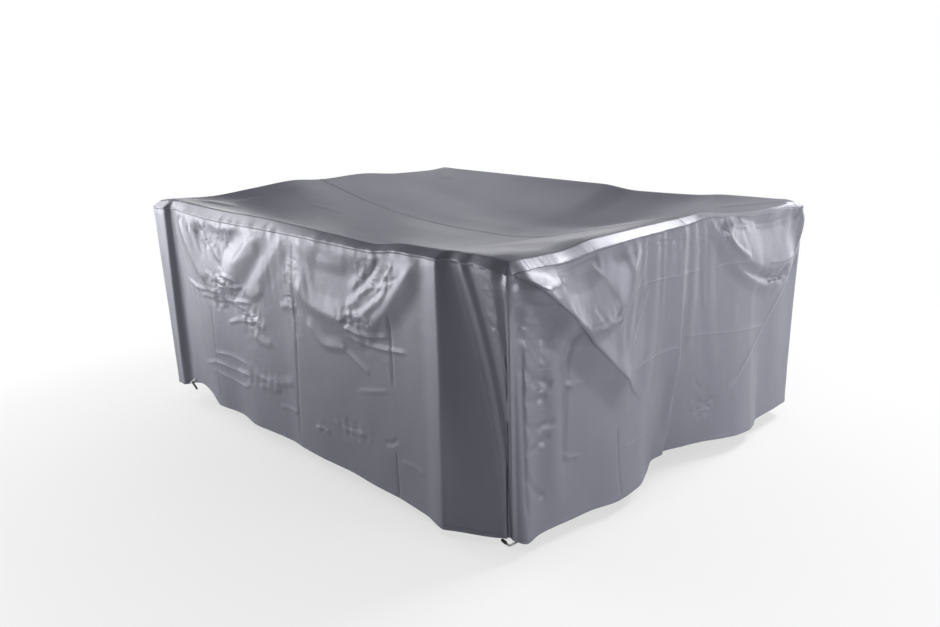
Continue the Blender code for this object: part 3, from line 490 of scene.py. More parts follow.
        (-0.0027, 0.011, 0.012, 1.0, ((0.000, 0.60), (-0.006, 0.35), (-0.010, 0.08))),
        (0.0024, 0.014, 0.010, 1.0, ((-0.74, 0.48), (-0.40, 0.46), (-0.10, 0.47))),
    )),
))

# The soft gathers under the rim at the middle of the right side: where each starts and ends.
Gather = namedtuple("Gather", "along end rise half_width low")
GATHERS = (
    Gather(-0.330, -0.390, 0.0034, 0.050, 0.40),
    Gather(-0.262, -0.330, 0.0044, 0.034, 0.54),
    Gather(-0.222, -0.236, 0.0022, 0.018, 0.70),
    Gather(-0.160, -0.205, 0.0046, 0.044, 0.34),
    Gather(-0.118, -0.124, 0.0024, 0.018, 0.64),
    Gather(-0.052, -0.070, 0.0040, 0.046, 0.36),
    Gather(0.010, 0.024, 0.0024, 0.022, 0.60),
    Gather(0.062, 0.078, 0.0036, 0.036, 0.44),
    Gather(0.112, 0.150, 0.0026, 0.022, 0.58),
    Gather(0.150, 0.235, 0.0040, 0.050, 0.32),
)
GATHER_TOP = 0.925
GATHER_KEEN = 0.2

# Patches of small sharp wrinkles: their middle, half size, mean slant from level, number, length of
# a wrinkle, half width and rise. full says how crumpled the cloth between them is.
Patch = namedtuple(
    "Patch", "side along height half_long half_high slant count length half_width rise full")
PATCHES = by_side(Patch, (
    ("front", (
        (-0.49, 0.61, 0.16, 0.055, 0, 16, 0.085, 0.011, 0.0013, 0.40),
        (-0.56, 0.55, 0.24, 0.035, -4, 9, 0.090, 0.011, 0.0013, 0.45),
        (-0.55, 0.80, 0.16, 0.070, -30, 6, 0.085, 0.014, 0.0018, 0.25),
        (0.38, 0.62, 0.11, 0.060, 5, 12, 0.080, 0.011, 0.0013, 0.40),
        (0.45, 0.78, 0.12, 0.080, 40, 6, 0.085, 0.012, 0.0020, 0.25),
        (-0.01, 0.66, 0.05, 0.160, 10, 10, 0.045, 0.009, 0.0009, 0.25),
        (-0.30, 0.50, 0.10, 0.050, 0, 5, 0.070, 0.011, 0.0014, 0.40),
        (-0.38, 0.26, 0.09, 0.050, -4, 4, 0.070, 0.010, 0.0008, 0.20),
        (-0.20, 0.27, 0.12, 0.040, 10, 2, 0.080, 0.012, 0.0014, 0.20),
        (0.30, 0.22, 0.12, 0.030, 8, 5, 0.060, 0.010, 0.0012, 0.35),
        (0.14, 0.17, 0.05, 0.025, 8, 0, 0.060, 0.010, 0.0018, 0.50),
        (0.97, 0.72, 0.07, 0.140, -50, 9, 0.060, 0.009, 0.0016, 0.25),
    )),
    ("right", (
        (-0.74, 0.60, 0.06, 0.240, -20, 8, 0.060, 0.010, 0.0014, 0.25),
        (-0.44, 0.68, 0.10, 0.030, 14, 5, 0.060, 0.011, 0.0018, 0.35),
        (0.02, 0.86, 0.34, 0.050, 86, 10, 0.060, 0.011, 0.0014, 0.35),
        (0.66, 0.64, 0.10, 0.035, 4, 7, 0.050, 0.010, 0.0018, 0.60),
        (0.18, 0.22, 0.07, 0.050, -30, 5, 0.050, 0.011, 0.0014, 0.30),
    )),
    ("back", (
        (-0.38, 0.63, 0.15, 0.050, 0, 12, 0.080, 0.011, 0.0014, 0.40),
        (0.48, 0.61, 0.15, 0.050, 0, 12, 0.080, 0.011, 0.0014, 0.40),
    )),
    ("left", (
        (-0.26, 0.64, 0.13, 0.050, 0, 12, 0.080, 0.011, 0.0014, 0.40),
        (0.48, 0.66, 0.10, 0.040, 0, 8, 0.080, 0.011, 0.0014, 0.40),
    )),
))
PATCH_SEED = 40

# How a patch's wrinkles vary: the spread of their slants in degrees, and the range of their
# lengths, bows, rises and widths as shares of the patch's own.
WRINKLE_SLANTS = 24
WRINKLE_LENGTHS = (0.6, 1.3)
WRINKLE_BOWS = (-0.25, 0.25)
WRINKLE_RISES = (0.6, 1.2)
WRINKLE_WIDTHS = (0.8, 1.3)
WRINKLE_KEEN = 0.7
# How much wider and higher than the wrinkles the spare cloth and the crumpled finish reach.
SPARE_SPREAD = (1.5, 1.6)
CRUMPLED_SPREAD = (1.3, 1.4)

# Puckers along the seam round the rim: how far apart they are, how high they stand, and how far
# they reach down the side and up the rim.
Pucker = namedtuple("Pucker", "spacing rise below above seed")
PUCKERS = (
    Pucker(0.013, 0.0011, 0.012, 0.35, 3),
    Pucker(0.031, 0.0022, 0.030, 0.75, 5),
    Pucker(0.085, 0.0030, 0.070, 1.00, 8),
)
# Where the seam is nearly smooth: the way round at its middle, half its length, and what is lost.
Calm = namedtuple("Calm", "way half loss")
CALM = Calm(2.28, 0.70, 0.85)

# Folds and waves of the top: courses of (x, y) points.
TopFold = namedtuple("TopFold", "rise left right keen course")
TOP_FOLDS = (
    TopFold(0.0020, 0.030, 0.030, 0.4, ((0.62, 0.30), (0.72, 0.33), (0.84, 0.42))),
    TopFold(0.0015, 0.020, 0.020, 0.6, ((-0.70, -0.30), (-0.60, -0.26), (-0.50, -0.25))),
    TopFold(0.0050, 0.060, 0.060, 0.2, ((-1.02, -0.84), (-0.90, -0.72), (-0.76, -0.62))),
    TopFold(0.0040, 0.050, 0.050, 0.2, ((1.03, 0.83), (0.93, 0.72), (0.78, 0.64))),
    TopFold(0.0040, 0.060, 0.060, 0.2, ((1.02, -0.82), (0.88, -0.68), (0.72, -0.58))),
    TopFold(0.0040, 0.050, 0.050, 0.2, ((-1.02, 0.82), (-0.92, 0.72), (-0.80, 0.64))),
)

# The ties: middle line as (x, y, height) points from one end to the other, and the toggle: its
# middle, its length, and in degrees how far it is turned about Z and its outer end hangs down.
Tie = namedtuple("Tie", "line toggle length turn tilt")
TIES = {
    "near": Tie(
        line=((1.004, -0.828, 0.041), (1.010, -0.825, 0.0375), (1.0192, -0.820, 0.0338),
              (1.0281, -0.810, 0.0392), (1.035, -0.800, 0.046)),
        toggle=(1.0080, -0.8326, 0.0478), length=0.022, turn=8.0, tilt=20.0),
    "left": Tie(
        line=((-0.9215, -0.842, 0.091), (-0.905, -0.842, 0.102), (-0.8895, -0.842, 0.112),
              (-0.872, -0.842, 0.121)),
        toggle=(-0.8735, -0.8468, 0.0934), length=0.052, turn=0.0, tilt=31.0),
}
TIE_WIDTH = 0.008
TIE_THICKNESS = 0.0015
TIE_SECTIONS = 49
TIE_SIDES = 20
TIE_POWER = 0.5
# A selvedge stands out by its rise from this share of the half width on, over a step.
SELVEDGE_RISE = 0.35
SELVEDGE_FROM = 0.72
SELVEDGE_STEP = 0.1
TOGGLE_DEPTH = 0.007
TOGGLE_HEIGHT = 0.011
TOGGLE_SECTIONS = 33
TOGGLE_SIDES = 40
TOGGLE_POWER = 0.6
TOGGLE_END_POWER = 6
# The grip grooves: their places along half the toggle, half width and depth as shares of it.
GRIP_PLACES = (-0.34, 0.0, 0.34)
GRIP_WIDTH = 0.05
GRIP_DEPTH = 0.09

# The photograph's camera.
IMAGE_WIDTH = 940
FOCAL_PIXELS = 905.566
SENSOR = 36.0
CAMERA_PLACE = (2.7147, -2.6080, 1.4226)
CAMERA_YAW = -0.802452
CAMERA_DOWN = 0.262280
CAMERA_ROLL = -0.0175448
CAMERA_SIGHT = 200.0

# The lights: what they point at, and for each its turn about the middle in degrees, its distance
# and height from the middle, its width and its power. They share one tallness.
LIGHT_AIM = (0.0, 0.0, -0.1)
LIGHT_TALL = 1.4
Light = namedtuple("Light", "name turn distance height wide power")
LIGHTS = (
    Light("left light", 213.0, 5.0, 0.2, 1.95, 100.0),
    Light("near left light", 230.0, 5.0, 0.2, 1.95, 38.0),
    Light("left key light", 200.0, 5.0, 1.7, 1.95, 64.0),
    Light("high left light", 195.0, 5.0, 2.6, 1.95, 34.0),
    Light("right light", 10.0, 5.0, 0.2, 1.95, 92.0),
    Light("far right light", 66.0, 5.0, 0.2, 2.6, 52.0),
    Light("far back light", 130.0, 5.0, 0.2, 1.95, 26.0),
    Light("back light", 160.0, 5.0, 0.2, 1.95, 38.0),
    Light("back right light", 110.0, 5.0, 1.7, 1.95, 12.0),
    Light("high back light", 140.0, 4.8, 2.6, 1.95, 15.0),
    Light("high right light", 70.0, 4.5, 3.4, 1.95, 255.0),
    Light("high near light", 300.0, 4.5, 3.4, 1.95, 48.0),
)

# Depths of the bumps, the play of the gloss, and the thread's shade of the cloth's colour.
CRINKLE_DEPTH = 0.004
CRUMPLE_DEPTH = 0.030
WEAVE_STRENGTH = 0.25
WEAVE_DEPTH = 0.0001
WEBBING_DEPTH = 0.0003
GRAIN_DEPTH = 0.0002
GLOSS_PLAY = 0.03
THREAD_SHADE = 0.75

# How far from the middle the floor keeps its palest tone.
FLOOR_PALE_TO = 1.2

# The points of the finished panels and seams, for the stitches.
PANELS = {}


# ---------------------------------------------------------------------------------------------
# Curves and waves


def through(knots, values, at):
    """A curve through the values that never swings past them: cubic steps whose slope is the
    harmonic mean of the slopes beside each knot, and nothing at a ridge or a valley."""
    steps = np.diff(knots)
    slopes = np.diff(values) / steps
    left, right = slopes[:-1], slopes[1:]
    same_way = left * right > 0
    weight_left = 2 * steps[1:] + steps[:-1]
    weight_right = steps[1:] + 2 * steps[:-1]
    safe_left = np.where(same_way, left, 1.0)
    safe_right = np.where(same_way, right, 1.0)
    mean = (weight_left + weight_right) / (weight_left / safe_left + weight_right / safe_right)
    inner = np.where(same_way, mean, 0.0)
    tangent = np.concatenate([slopes[:1], inner, slopes[-1:]])
    cell = np.clip(np.searchsorted(knots, at) - 1, 0, len(steps) - 1)
    t = (at - knots[cell]) / steps[cell]
    start, end = values[cell], values[cell + 1]
    return (
        start * (1 + 2 * t) * (1 - t) ** 2
        + end * t**2 * (3 - 2 * t)
        + steps[cell] * (tangent[cell] * t * (1 - t) ** 2 - tangent[cell + 1] * t**2 * (1 - t))
    )


def smooth(value):
    """Nothing below 0, one above 1, and a smooth S between."""
    t = np.clip(value, 0, 1)
    return t * t * (3 - 2 * t)


def unit(vectors):
    """Vectors scaled to a length of one."""
    return vectors / np.linalg.norm(vectors, axis=-1, keepdims=True)


def run_along(points):
    """The distance along a line at each of its points."""
    return np.concatenate([[0], np.cumsum(np.linalg.norm(np.diff(points, axis=0), axis=1))])


def middle_of(side):
    """The way round at the middle of a side."""
    return SIDE_START[side] + SIDES[side].length / 2


def around(way, middle):
    """How far past a middle way another is, counted the shorter way round."""
    return np.mod(way - middle + GIRTH / 2, GIRTH) - GIRTH / 2


def girth_curve(table, value_of, at):
    """What value_of makes of the rows of a table, as a smooth closed curve round the cover: the
    last and first three rows are repeated beyond the ends, so that the curve closes."""
    rows = [(middle_of(side) + row.along, value_of(row)) for side in SIDES for row in table[side]]
    knots, values = np.array(rows).T
    knots = np.concatenate([knots[-3:] - GIRTH, knots, knots[:3] + GIRTH])
    values = np.concatenate([values[-3:], values, values[:3]])
    return through(knots, values, np.mod(at, GIRTH))


def round_the_girth(table, column, at):
    """A column of a table as a smooth closed curve round the cover."""
    return girth_curve(table, lambda row: getattr(row, column), at)


def fold_shift(column, at):
    """How far a fold has moved round the cover at a lower level, from its place at the seam."""
    return girth_curve(FOLDS, lambda row: getattr(row, column) - row.along, at)


def wave_round(at, spacing, seed):
    """Random heights from -1 to 1, one each spacing round the girth, joined by smooth steps."""
    count = round(GIRTH / spacing)
    heights = np.random.default_rng(seed).uniform(-1, 1, count)
    place = np.mod(at, GIRTH) / GIRTH * count
    cell = np.floor(place).astype(int)
    t = smooth(place - cell)
    return heights[cell % count] * (1 - t) + heights[(cell + 1) % count] * t


# ---------------------------------------------------------------------------------------------
# Strokes, wrinkles and puckers


def course_of(points):
    """A smooth line through a few points, cut into short straight pieces."""
    points = np.array(points)
    knots = run_along(points)
    at = np.linspace(0, knots[-1], COURSE_POINTS)
    return np.stack([through(knots, column, at) for column in points.T], axis=1)


def ridge(across, keen):
    """The section of a ridge: one at its crest and nothing from 1 on, either round at the crest
    or, where keen is 1, with nearly straight flanks that meet there in a sharp edge."""
    x = np.clip(across, 0, 1)
    return (1 - x * x) ** 2 * (1 - keen) + (1 - x) ** KEEN_POWER * keen


def end_fade(progress):
    """One along a course, and nothing at its two ends."""
    return smooth(np.minimum(progress, 1 - progress) / DRAPE_FADE)


def near_course(a, h, course, reach, middle):
    """Which points at (a, h) are within reach of a course, and for each of them the distance to
    it, more than 0 on its left hand, and how far along it the nearest place is, from 0 to 1."""
    line = course_of(course) + (middle, 0.0)
    low, high = line.min(axis=0) - reach, line.max(axis=0) + reach
    box = (a > low[0]) & (a < high[0]) & (h > low[1]) & (h < high[1])
    if not box.any():
        return box, None, None
    start, step = line[:-1], np.diff(line, axis=0)
    offset_a = a[box][:, None] - start[:, 0]
    offset_h = h[box][:, None] - start[:, 1]
    t = np.clip((offset_a * step[:, 0] + offset_h * step[:, 1]) / (step**2).sum(axis=1), 0, 1)
    gap_a, gap_h = offset_a - t * step[:, 0], offset_h - t * step[:, 1]
    distance = np.hypot(gap_a, gap_h)
    nearest = distance.argmin(axis=-1)[:, None]
    closest = np.take_along_axis(distance, nearest, -1)[:, 0]
    hand = np.take_along_axis(step[:, 0] * gap_h - step[:, 1] * gap_a, nearest, -1)[:, 0]
    progress = (nearest[:, 0] + np.take_along_axis(t, nearest, -1)[:, 0]) / len(step)
    return box, np.where(hand > 0, closest, -closest), progress


def stroke_on(a, h, stroke, middle):
    """How far out one stroke moves points at (a, h), and which points it reaches. The distance
    from the course sets the ridge's height, which fades towards both ends; left and right hand
    have their own widths."""
    reach = max(stroke.left, stroke.right)
    box, gap, progress = near_course(a, h, stroke.course, reach, middle)
    if not box.any():
        return box, 0.0
    half_width = np.where(gap > 0, stroke.left, stroke.right)
    return box, stroke.rise * end_fade(progress) * ridge(np.abs(gap) / half_width, stroke.keen)


def strokes_at(way, height, strokes):
    """How far out all the strokes together move places on the sides."""
    out = np.zeros(way.shape)
    for stroke in strokes:
        for turn in TURNS:
            box, rise = stroke_on(way, height, stroke, middle_of(stroke.side) + turn)
            if box.any():
                out[box] += rise
    return out


def gather_stroke(gather):
    """A gather as a narrow stroke that hangs from under the rim to its lower end."""
    middle = (gather.along + (gather.end - gather.along) / 3, (GATHER_TOP + gather.low) / 2)
    course = ((gather.along, GATHER_TOP), middle, (gather.end, gather.low))
    return Stroke("right", gather.rise, gather.half_width, gather.half_width, GATHER_KEEN, course)


def wrinkles_of(patch, seed):
    """The short sharp wrinkles of a patch, scattered with their slants about the mean, half of
    them ridges and half troughs."""
    random = np.random.default_rng(seed)
    made = []
    for number in range(patch.count):
        radius, round_way = math.sqrt(random.uniform()), random.uniform(0, 2 * math.pi)
        a = patch.along + patch.half_long * radius * math.cos(round_way)
        h = patch.height + patch.half_high * radius * math.sin(round_way)
        slant = math.radians(patch.slant + random.normal(0, WRINKLE_SLANTS))
        half = patch.length * random.uniform(*WRINKLE_LENGTHS) / 2
        bow = half * random.uniform(*WRINKLE_BOWS)
        ahead = np.array([math.cos(slant), math.sin(slant)])
        aside = np.array([-ahead[1], ahead[0]])
        course = [(a, h) + ahead * half * k + aside * bow * (1 - k * k) for k in (-1, 0, 1)]
        rise = patch.rise * random.uniform(*WRINKLE_RISES) * (1 if number % 2 else -1)
        width = patch.half_width * random.uniform(*WRINKLE_WIDTHS)
        made.append(Stroke(patch.side, rise, width, width, WRINKLE_KEEN, course))
    return made


def wide_strokes():
    """The strokes that the cloth settles on: the drapes and the gathers."""
    return [*DRAPES, *map(gather_stroke, GATHERS)]


def fine_strokes():
    """The strokes that stand on the settled cloth: the creases and the scattered wrinkles."""
    scattered = [wrinkles_of(patch, seed) for seed, patch in enumerate(PATCHES, PATCH_SEED)]
    return [*CREASES, *(wrinkle for wrinkles in scattered for wrinkle in wrinkles)]


def near_patches(way, height, spread):
    """How far into a crumpled patch a place on the sides is: from 0 outside them all to the
    patch's own fullness at its middle, over its half size times the spread each way."""
    full = np.zeros(way.shape)
    for patch in PATCHES:
        across = around(way, middle_of(patch.side) + patch.along) / (patch.half_long * spread[0])
        up = (height - patch.height) / (patch.half_high * spread[1])
        full = np.maximum(full, patch.full * ridge(np.hypot(across, up), 0.0))
    return full


def pucker_out(way, below, inward):
    """The puckers of the seam: waves round the girth that die out down the side (below, metres)
    or up the rim (inward, from 0 at the seam to 1 at the crest)."""
    out = np.zeros(np.broadcast(way, below).shape)
    for pucker in PUCKERS:
        fade = np.exp(-below / pucker.below) * (1 - smooth(inward / pucker.above))
        out += pucker.rise * wave_round(way, pucker.spacing, pucker.seed) * fade
    return out * (1 - CALM.loss * np.clip(1 - ((way - CALM.way) / CALM.half) ** 2, 0, 1))


def crease_field(way, height, strokes):
    """Where the sharp creases run, for the cloth's finish: the distance to the nearest one, with
    its hand as the sign, and how strong it is, more than 0 on a ridge and less in a trough."""
    gap, strength = np.zeros(way.shape), np.zeros(way.shape)
    for stroke in (stroke for stroke in strokes if stroke.keen >= 1.0):
        for turn in TURNS:
            middle = middle_of(stroke.side) + turn
            box, signed, progress = near_course(way, height, stroke.course, CREASE_REACH, middle)
            if not box.any():
                continue
            here = end_fade(progress) * np.clip(1 - np.abs(signed) / CREASE_REACH, 0, 1)
            better = here > np.abs(strength[box])
            gap[box] = np.where(better, signed, gap[box])
            strength[box] = np.where(better, math.copysign(1, stroke.rise) * here, strength[box])
    return gap, strength


def dents(way, height):
    """Soft dents all over: random heights on a lattice over the side, joined by smooth steps."""
    out = np.zeros(way.shape)
    for dent in DENTS:
        columns, rows = round(GIRTH / dent.across), round(DENT_TOP / dent.down)
        values = np.random.default_rng(dent.seed).uniform(-1, 1, (rows + 1, columns))
        x, y = np.mod(way, GIRTH) / GIRTH * columns, np.clip(height / DENT_TOP, 0, 1) * rows
        column, row = np.floor(x).astype(int), np.minimum(np.floor(y).astype(int), rows - 1)
        s, t = smooth(x - column), smooth(y - row)
        column, beyond = column % columns, (column + 1) % columns
        low = values[row, column] * (1 - s) + values[row, beyond] * s
        high = values[row + 1, column] * (1 - s) + values[row + 1, beyond] * s
        out += dent.rise * (low * (1 - t) + high * t)
    return out


# ---------------------------------------------------------------------------------------------
# The surface of the sides


def between_levels(seam, middle, hem, down):
    """The parabola through the values at the seam, half way down and at the hem."""
    return (
        seam * (1 - down) * (1 - 2 * down)
        + middle * 4 * down * (1 - down)
        + hem * down * (2 * down - 1)
    )


def plan(way, out, corner_round):
    """Points in plan at a way round the cover: a rectangle with round corners, each of which
    takes up the way within its radius, moved out along its normal."""
    way = np.mod(way, GIRTH)
    x, y = np.zeros_like(way), np.zeros_like(way)
    for name, side in SIDES.items():
        along, half = way - SIDE_START[name], side.length / 2
        here = (along >= 0) & (along <= side.length)
        from_middle = along - half
        near = np.clip(1 - (half - np.abs(from_middle)) / corner_round, 0, 1)
        turn = np.sign(from_middle) * near * math.pi / 4
        flat = np.clip(from_middle, corner_round - half, half - corner_round)
        run = half + flat + (corner_round + out) * np.sin(turn)
        depth = out * np.cos(turn) - corner_round * (1 - np.cos(turn))
        x = np.where(here, side.corner[0] + side.direction[0] * run + side.normal[0] * depth, x)
        y = np.where(here, side.corner[1] + side.direction[1] * run + side.normal[1] * depth, y)
    return x, y


def seam_height(way):
    """The height of the seam round the rim: the crest less the seam's depth below it."""
    return round_the_girth(RIM, "crest", way) - round_the_girth(RIM, "depth", way)


def drop_at(way):
    """How far the hem hangs below the seam."""
    return seam_height(way) - round_the_girth(FOLDS, "hem", way)


def side_points(way, below, strokes, out=0.0):
    """Points of the sides, from the way round at the seam and the distance below the seam: the
    upright folds between three levels and on them the strokes, moved out as far as given."""
    down = below / drop_at(way)
    shift = between_levels(0.0, fold_shift("along_mid", way), fold_shift("along_hem", way), down)
    way_now, height = way + shift, seam_height(way) - below
    levels = [round_the_girth(FOLDS, column, way) for column in ("out", "out_mid", "out_hem")]
    rise = strokes_at(way_now, height, strokes) * np.clip(down / STROKES_START, 0, 1)
    corner = CORNER_ROUND_SEAM + (CORNER_ROUND_HEM - CORNER_ROUND_SEAM) * down
    x, y = plan(way_now, out + between_levels(*levels, down) + rise, corner)
    return np.stack([x, y, height - ORIGIN_HEIGHT], axis=-1)


def fine_out(way, below, strokes):
    """The small detail that stands on the sides: the fine creases, the puckers, the step under
    the lap at the seam, the hem, and the ridge of the seam down each corner."""
    height = seam_height(way) - below
    out = strokes_at(way, height, strokes) + dents(way, height)
    out *= np.clip(below / CREASES_START, 0, 1)
    out += pucker_out(way, below, 0.0)
    out -= LAP_RISE * (1 - smooth(below / LAP_FADE))
    out += HEM_RISE * smooth((HEM_WIDTH - (drop_at(way) - below)) / HEM_STEP)
    corner_gap = np.abs(around(way, CORNER_WAYS[:, None, None])).min(axis=0)
    return out + SEAM_RIDGE * ridge(corner_gap / SEAM_RIDGE_HALF, 0.0)


def side_grid(side):
    """The ways round and the fractions of the drop at which a side panel has its columns and
    rows: close together at the ends and the hem, and nearer together high up than low down."""
    start, length = SIDE_START[side], SIDES[side].length
    ends = np.array(EDGE_STEPS)
    count = round((length - 2 * ends[-1]) / COLUMN_STEP[side])
    even = np.linspace(ends[-1], length - ends[-1], count + 1)[1:-1]
    ways = start + np.concatenate([ends, even, length - ends[::-1]])
    ways[0] += EDGE_INSET
    ways[-1] -= EDGE_INSET
    down = (np.arange(ROW_COUNT[side]) / ROW_COUNT[side]) ** ROW_CROWDING
    hem = np.array(HEM_STEPS[::-1]) / SHORTEST_DROP
    return ways, np.concatenate([down[down < 1 - hem[0] - HEM_CLEAR], 1 - hem])


def between_knots(knots, values, at):
    """Values on a grid's first axis read between its lines: a smooth curve through them whose
    slope at each line is that between its neighbours."""
    slopes = np.gradient(values, knots, axis=0)
    cell = np.clip(np.searchsorted(knots, at) - 1, 0, len(knots) - 2)
    shape = (-1,) + (1,) * (values.ndim - 1)
    step = (knots[cell + 1] - knots[cell]).reshape(shape)
    t = (at - knots[cell]).reshape(shape) / step
    return (
        values[cell] * (1 + 2 * t) * (1 - t) ** 2
        + values[cell + 1] * t**2 * (3 - 2 * t)
        + step * (slopes[cell] * t * (1 - t) ** 2 - slopes[cell + 1] * t**2 * (1 - t))
    )


# ---------------------------------------------------------------------------------------------
# How the sides settle


def settle_grid():
    """The ways round and fractions of the drop of the cloth that is settled, one strip round all
    four sides from the far left corner."""
    ways, start = [np.array([0.0])], 0.0
    for side in SETTLE_ORDER:
        length = SIDES[side].length
        count = round(length / SETTLE_STEP[side])
        ways.append(start + length * np.arange(1, count + 1) / count)
        start += length
    return np.concatenate(ways) + SIDE_START["left"] - GIRTH, np.linspace(0, 1, SETTLE_ROWS + 1)


def cut_flat(plain):
    """The cloth of a grid of points laid out flat: as long and as high as it is there and a little
    more, counted from the middle column and down from the upper edge."""
    across = np.linalg.norm(np.diff(plain, axis=1), axis=-1) * (1 + SPARE_ACROSS)
    down = np.linalg.norm(np.diff(plain, axis=0), axis=-1) * (1 + SPARE_DOWN)
    flat = np.zeros(plain.shape)
    flat[:, 1:, 0] = np.cumsum(across, axis=1)
    flat[..., 0] -= flat[:, plain.shape[1] // 2, None, 0]
    flat[1:, :, 2] = -np.cumsum(down, axis=0)
    return flat


def weigh(piece, name, weights):
    """A vertex group with a weight for each vertex, in steps of a hundredth."""
    group = piece.vertex_groups.new(name=name)
    steps = np.round(weights.ravel(), 2)
    for step in np.unique(steps):
        group.add(np.flatnonzero(steps == step).tolist(), float(step), "REPLACE")


def settled(strokes):
    """The sides after their cloth has settled. The strip starts on the drawn folds, which hold it
    softly, and is cut a little larger than the folds alone, so that it buckles between them as
    real cloth does."""
    ways, down = settle_grid()
    way, part = np.meshgrid(ways, down)
    below = part * drop_at(way)
    drawn = side_points(way, below, strokes)
    name = "settling cloth"
    mesh = bpy.data.meshes.new(name)
    faces = grid_faces(*way.shape)[:, ::-1]
    mesh.from_pydata(drawn.reshape(-1, 3).tolist(), [], faces.tolist())
    cloth = put(name, mesh)
    cloth.shape_key_add(name="drawn")
    cut = cloth.shape_key_add(name="cut")
    flat = cut_flat(side_points(way, below, ()))
    cut.data.foreach_set("co", flat.astype(np.float32).ravel())
    fixed = (part <= 0) | (np.minimum(way - ways[0], ways[-1] - way) <= SETTLE_FIXED)
    at_hem = smooth((part - HOLD_HEM_FROM) / (1 - HOLD_HEM_FROM))
    weigh(cloth, "hold", np.where(fixed, 1.0, np.maximum(HOLD, HOLD_HEM * at_hem)))
    weigh(cloth, "taut", 1 - near_patches(way, seam_height(way) - below, SPARE_SPREAD))
    settle = cloth.modifiers.new("settle", "CLOTH")
    rules = settle.settings
    for label, value in CLOTH_RULES.items():
        setattr(rules, label, value)
    rules.rest_shape_key = cut
    rules.vertex_group_mass = "hold"
    rules.vertex_group_shrink = "taut"
    rules.effector_weights.gravity = SETTLE_WEIGHT
    settle.collision_settings.use_collision = False
    settle.collision_settings.use_self_collision = False
    settle.point_cache.frame_start = 1
    settle.point_cache.frame_end = SETTLE_FRAMES
    for number in range(1, SETTLE_FRAMES + 1):
        bpy.context.scene.frame_set(number)
    view = cloth.evaluated_get(bpy.context.evaluated_depsgraph_get())
    places = np.empty(way.size * 3, np.float32)
    view.data.vertices.foreach_get("co", places)
    bpy.data.objects.remove(cloth, do_unlink=True)
    bpy.context.scene.frame_set(1)
    return ways, down, places.reshape(drawn.shape).astype(float)


# ---------------------------------------------------------------------------------------------
# The surface of the top


def stations(length):
    """The lines that cross the top: close together on the roll at either end, even between."""
    half = length / 2
    roll = np.array(ROLL_SPLIT) * ROLL
    count = 2 * round((half - ROLL) / TOP_STEP)
    even = np.linspace(ROLL - half, half - ROLL, count + 1)[1:-1]
    return np.concatenate([roll - half, even, half - roll[::-1]])


def ways_of(parts, half):
    """For each point of the top, the way round where its line to each of the sides ends."""
    x, y = parts[..., 0] * half[0], parts[..., 1] * half[1]
    local = {"front": x, "right": y, "back": -x, "left": -y}
    return {side: middle_of(side) + local[side] for side in SIDES}


def rim_over(parts, half):
    """The rim's height and the seam's depth carried over the whole top, as a Coons patch: the
    straight blends between facing edges, less the blend of the four corners."""
    ways = ways_of(parts, half)
    s, t = (parts[..., 0] + 1) / 2, (parts[..., 1] + 1) / 2
    facing = {"front": 1 - t, "right": s, "back": t, "left": 1 - s}
    at_corner = {"front": (1 - s) * (1 - t), "right": s * (1 - t), "back": s * t, "left": (1 - s) * t}
    carried = []
    for column in ("crest", "depth"):
        edges = sum(round_the_girth(RIM, column, ways[side]) * facing[side] for side in SIDES)
        corners = sum(getattr(RIM[side][0], column) * at_corner[side] for side in SIDES)
        carried.append(edges - corners)
    return carried


def edge_play(parts, half):
    """The small wander of the seam in plan, which dies out within RIM_BLEND of the edge."""
    ways = ways_of(parts, half)
    gaps = {
        "front": half[1] * (1 + parts[..., 1]),
        "right": half[0] * (1 - parts[..., 0]),
        "back": half[1] * (1 - parts[..., 1]),
        "left": half[0] * (1 + parts[..., 0]),
    }
    move = np.zeros(parts.shape)
    total = np.zeros(parts.shape[:-1])
    for name, side in SIDES.items():
        near = np.clip(1 - gaps[name] / RIM_BLEND, 0, 1) ** 2
        out = round_the_girth(FOLDS, "out", ways[name]) * near
        move += out[..., None] * np.array(side.normal)
        total += near
    return move * (1 - np.clip(total - 1, 0, 1)[..., None])


def top_folds_at(x, y):
    """How high the folds of the top stand."""
    rest = np.zeros(x.shape)
    for fold in TOP_FOLDS:
        box, rise = stroke_on(x, y, fold, 0.0)
        if box.any():
            rest[box] += rise
    return rest


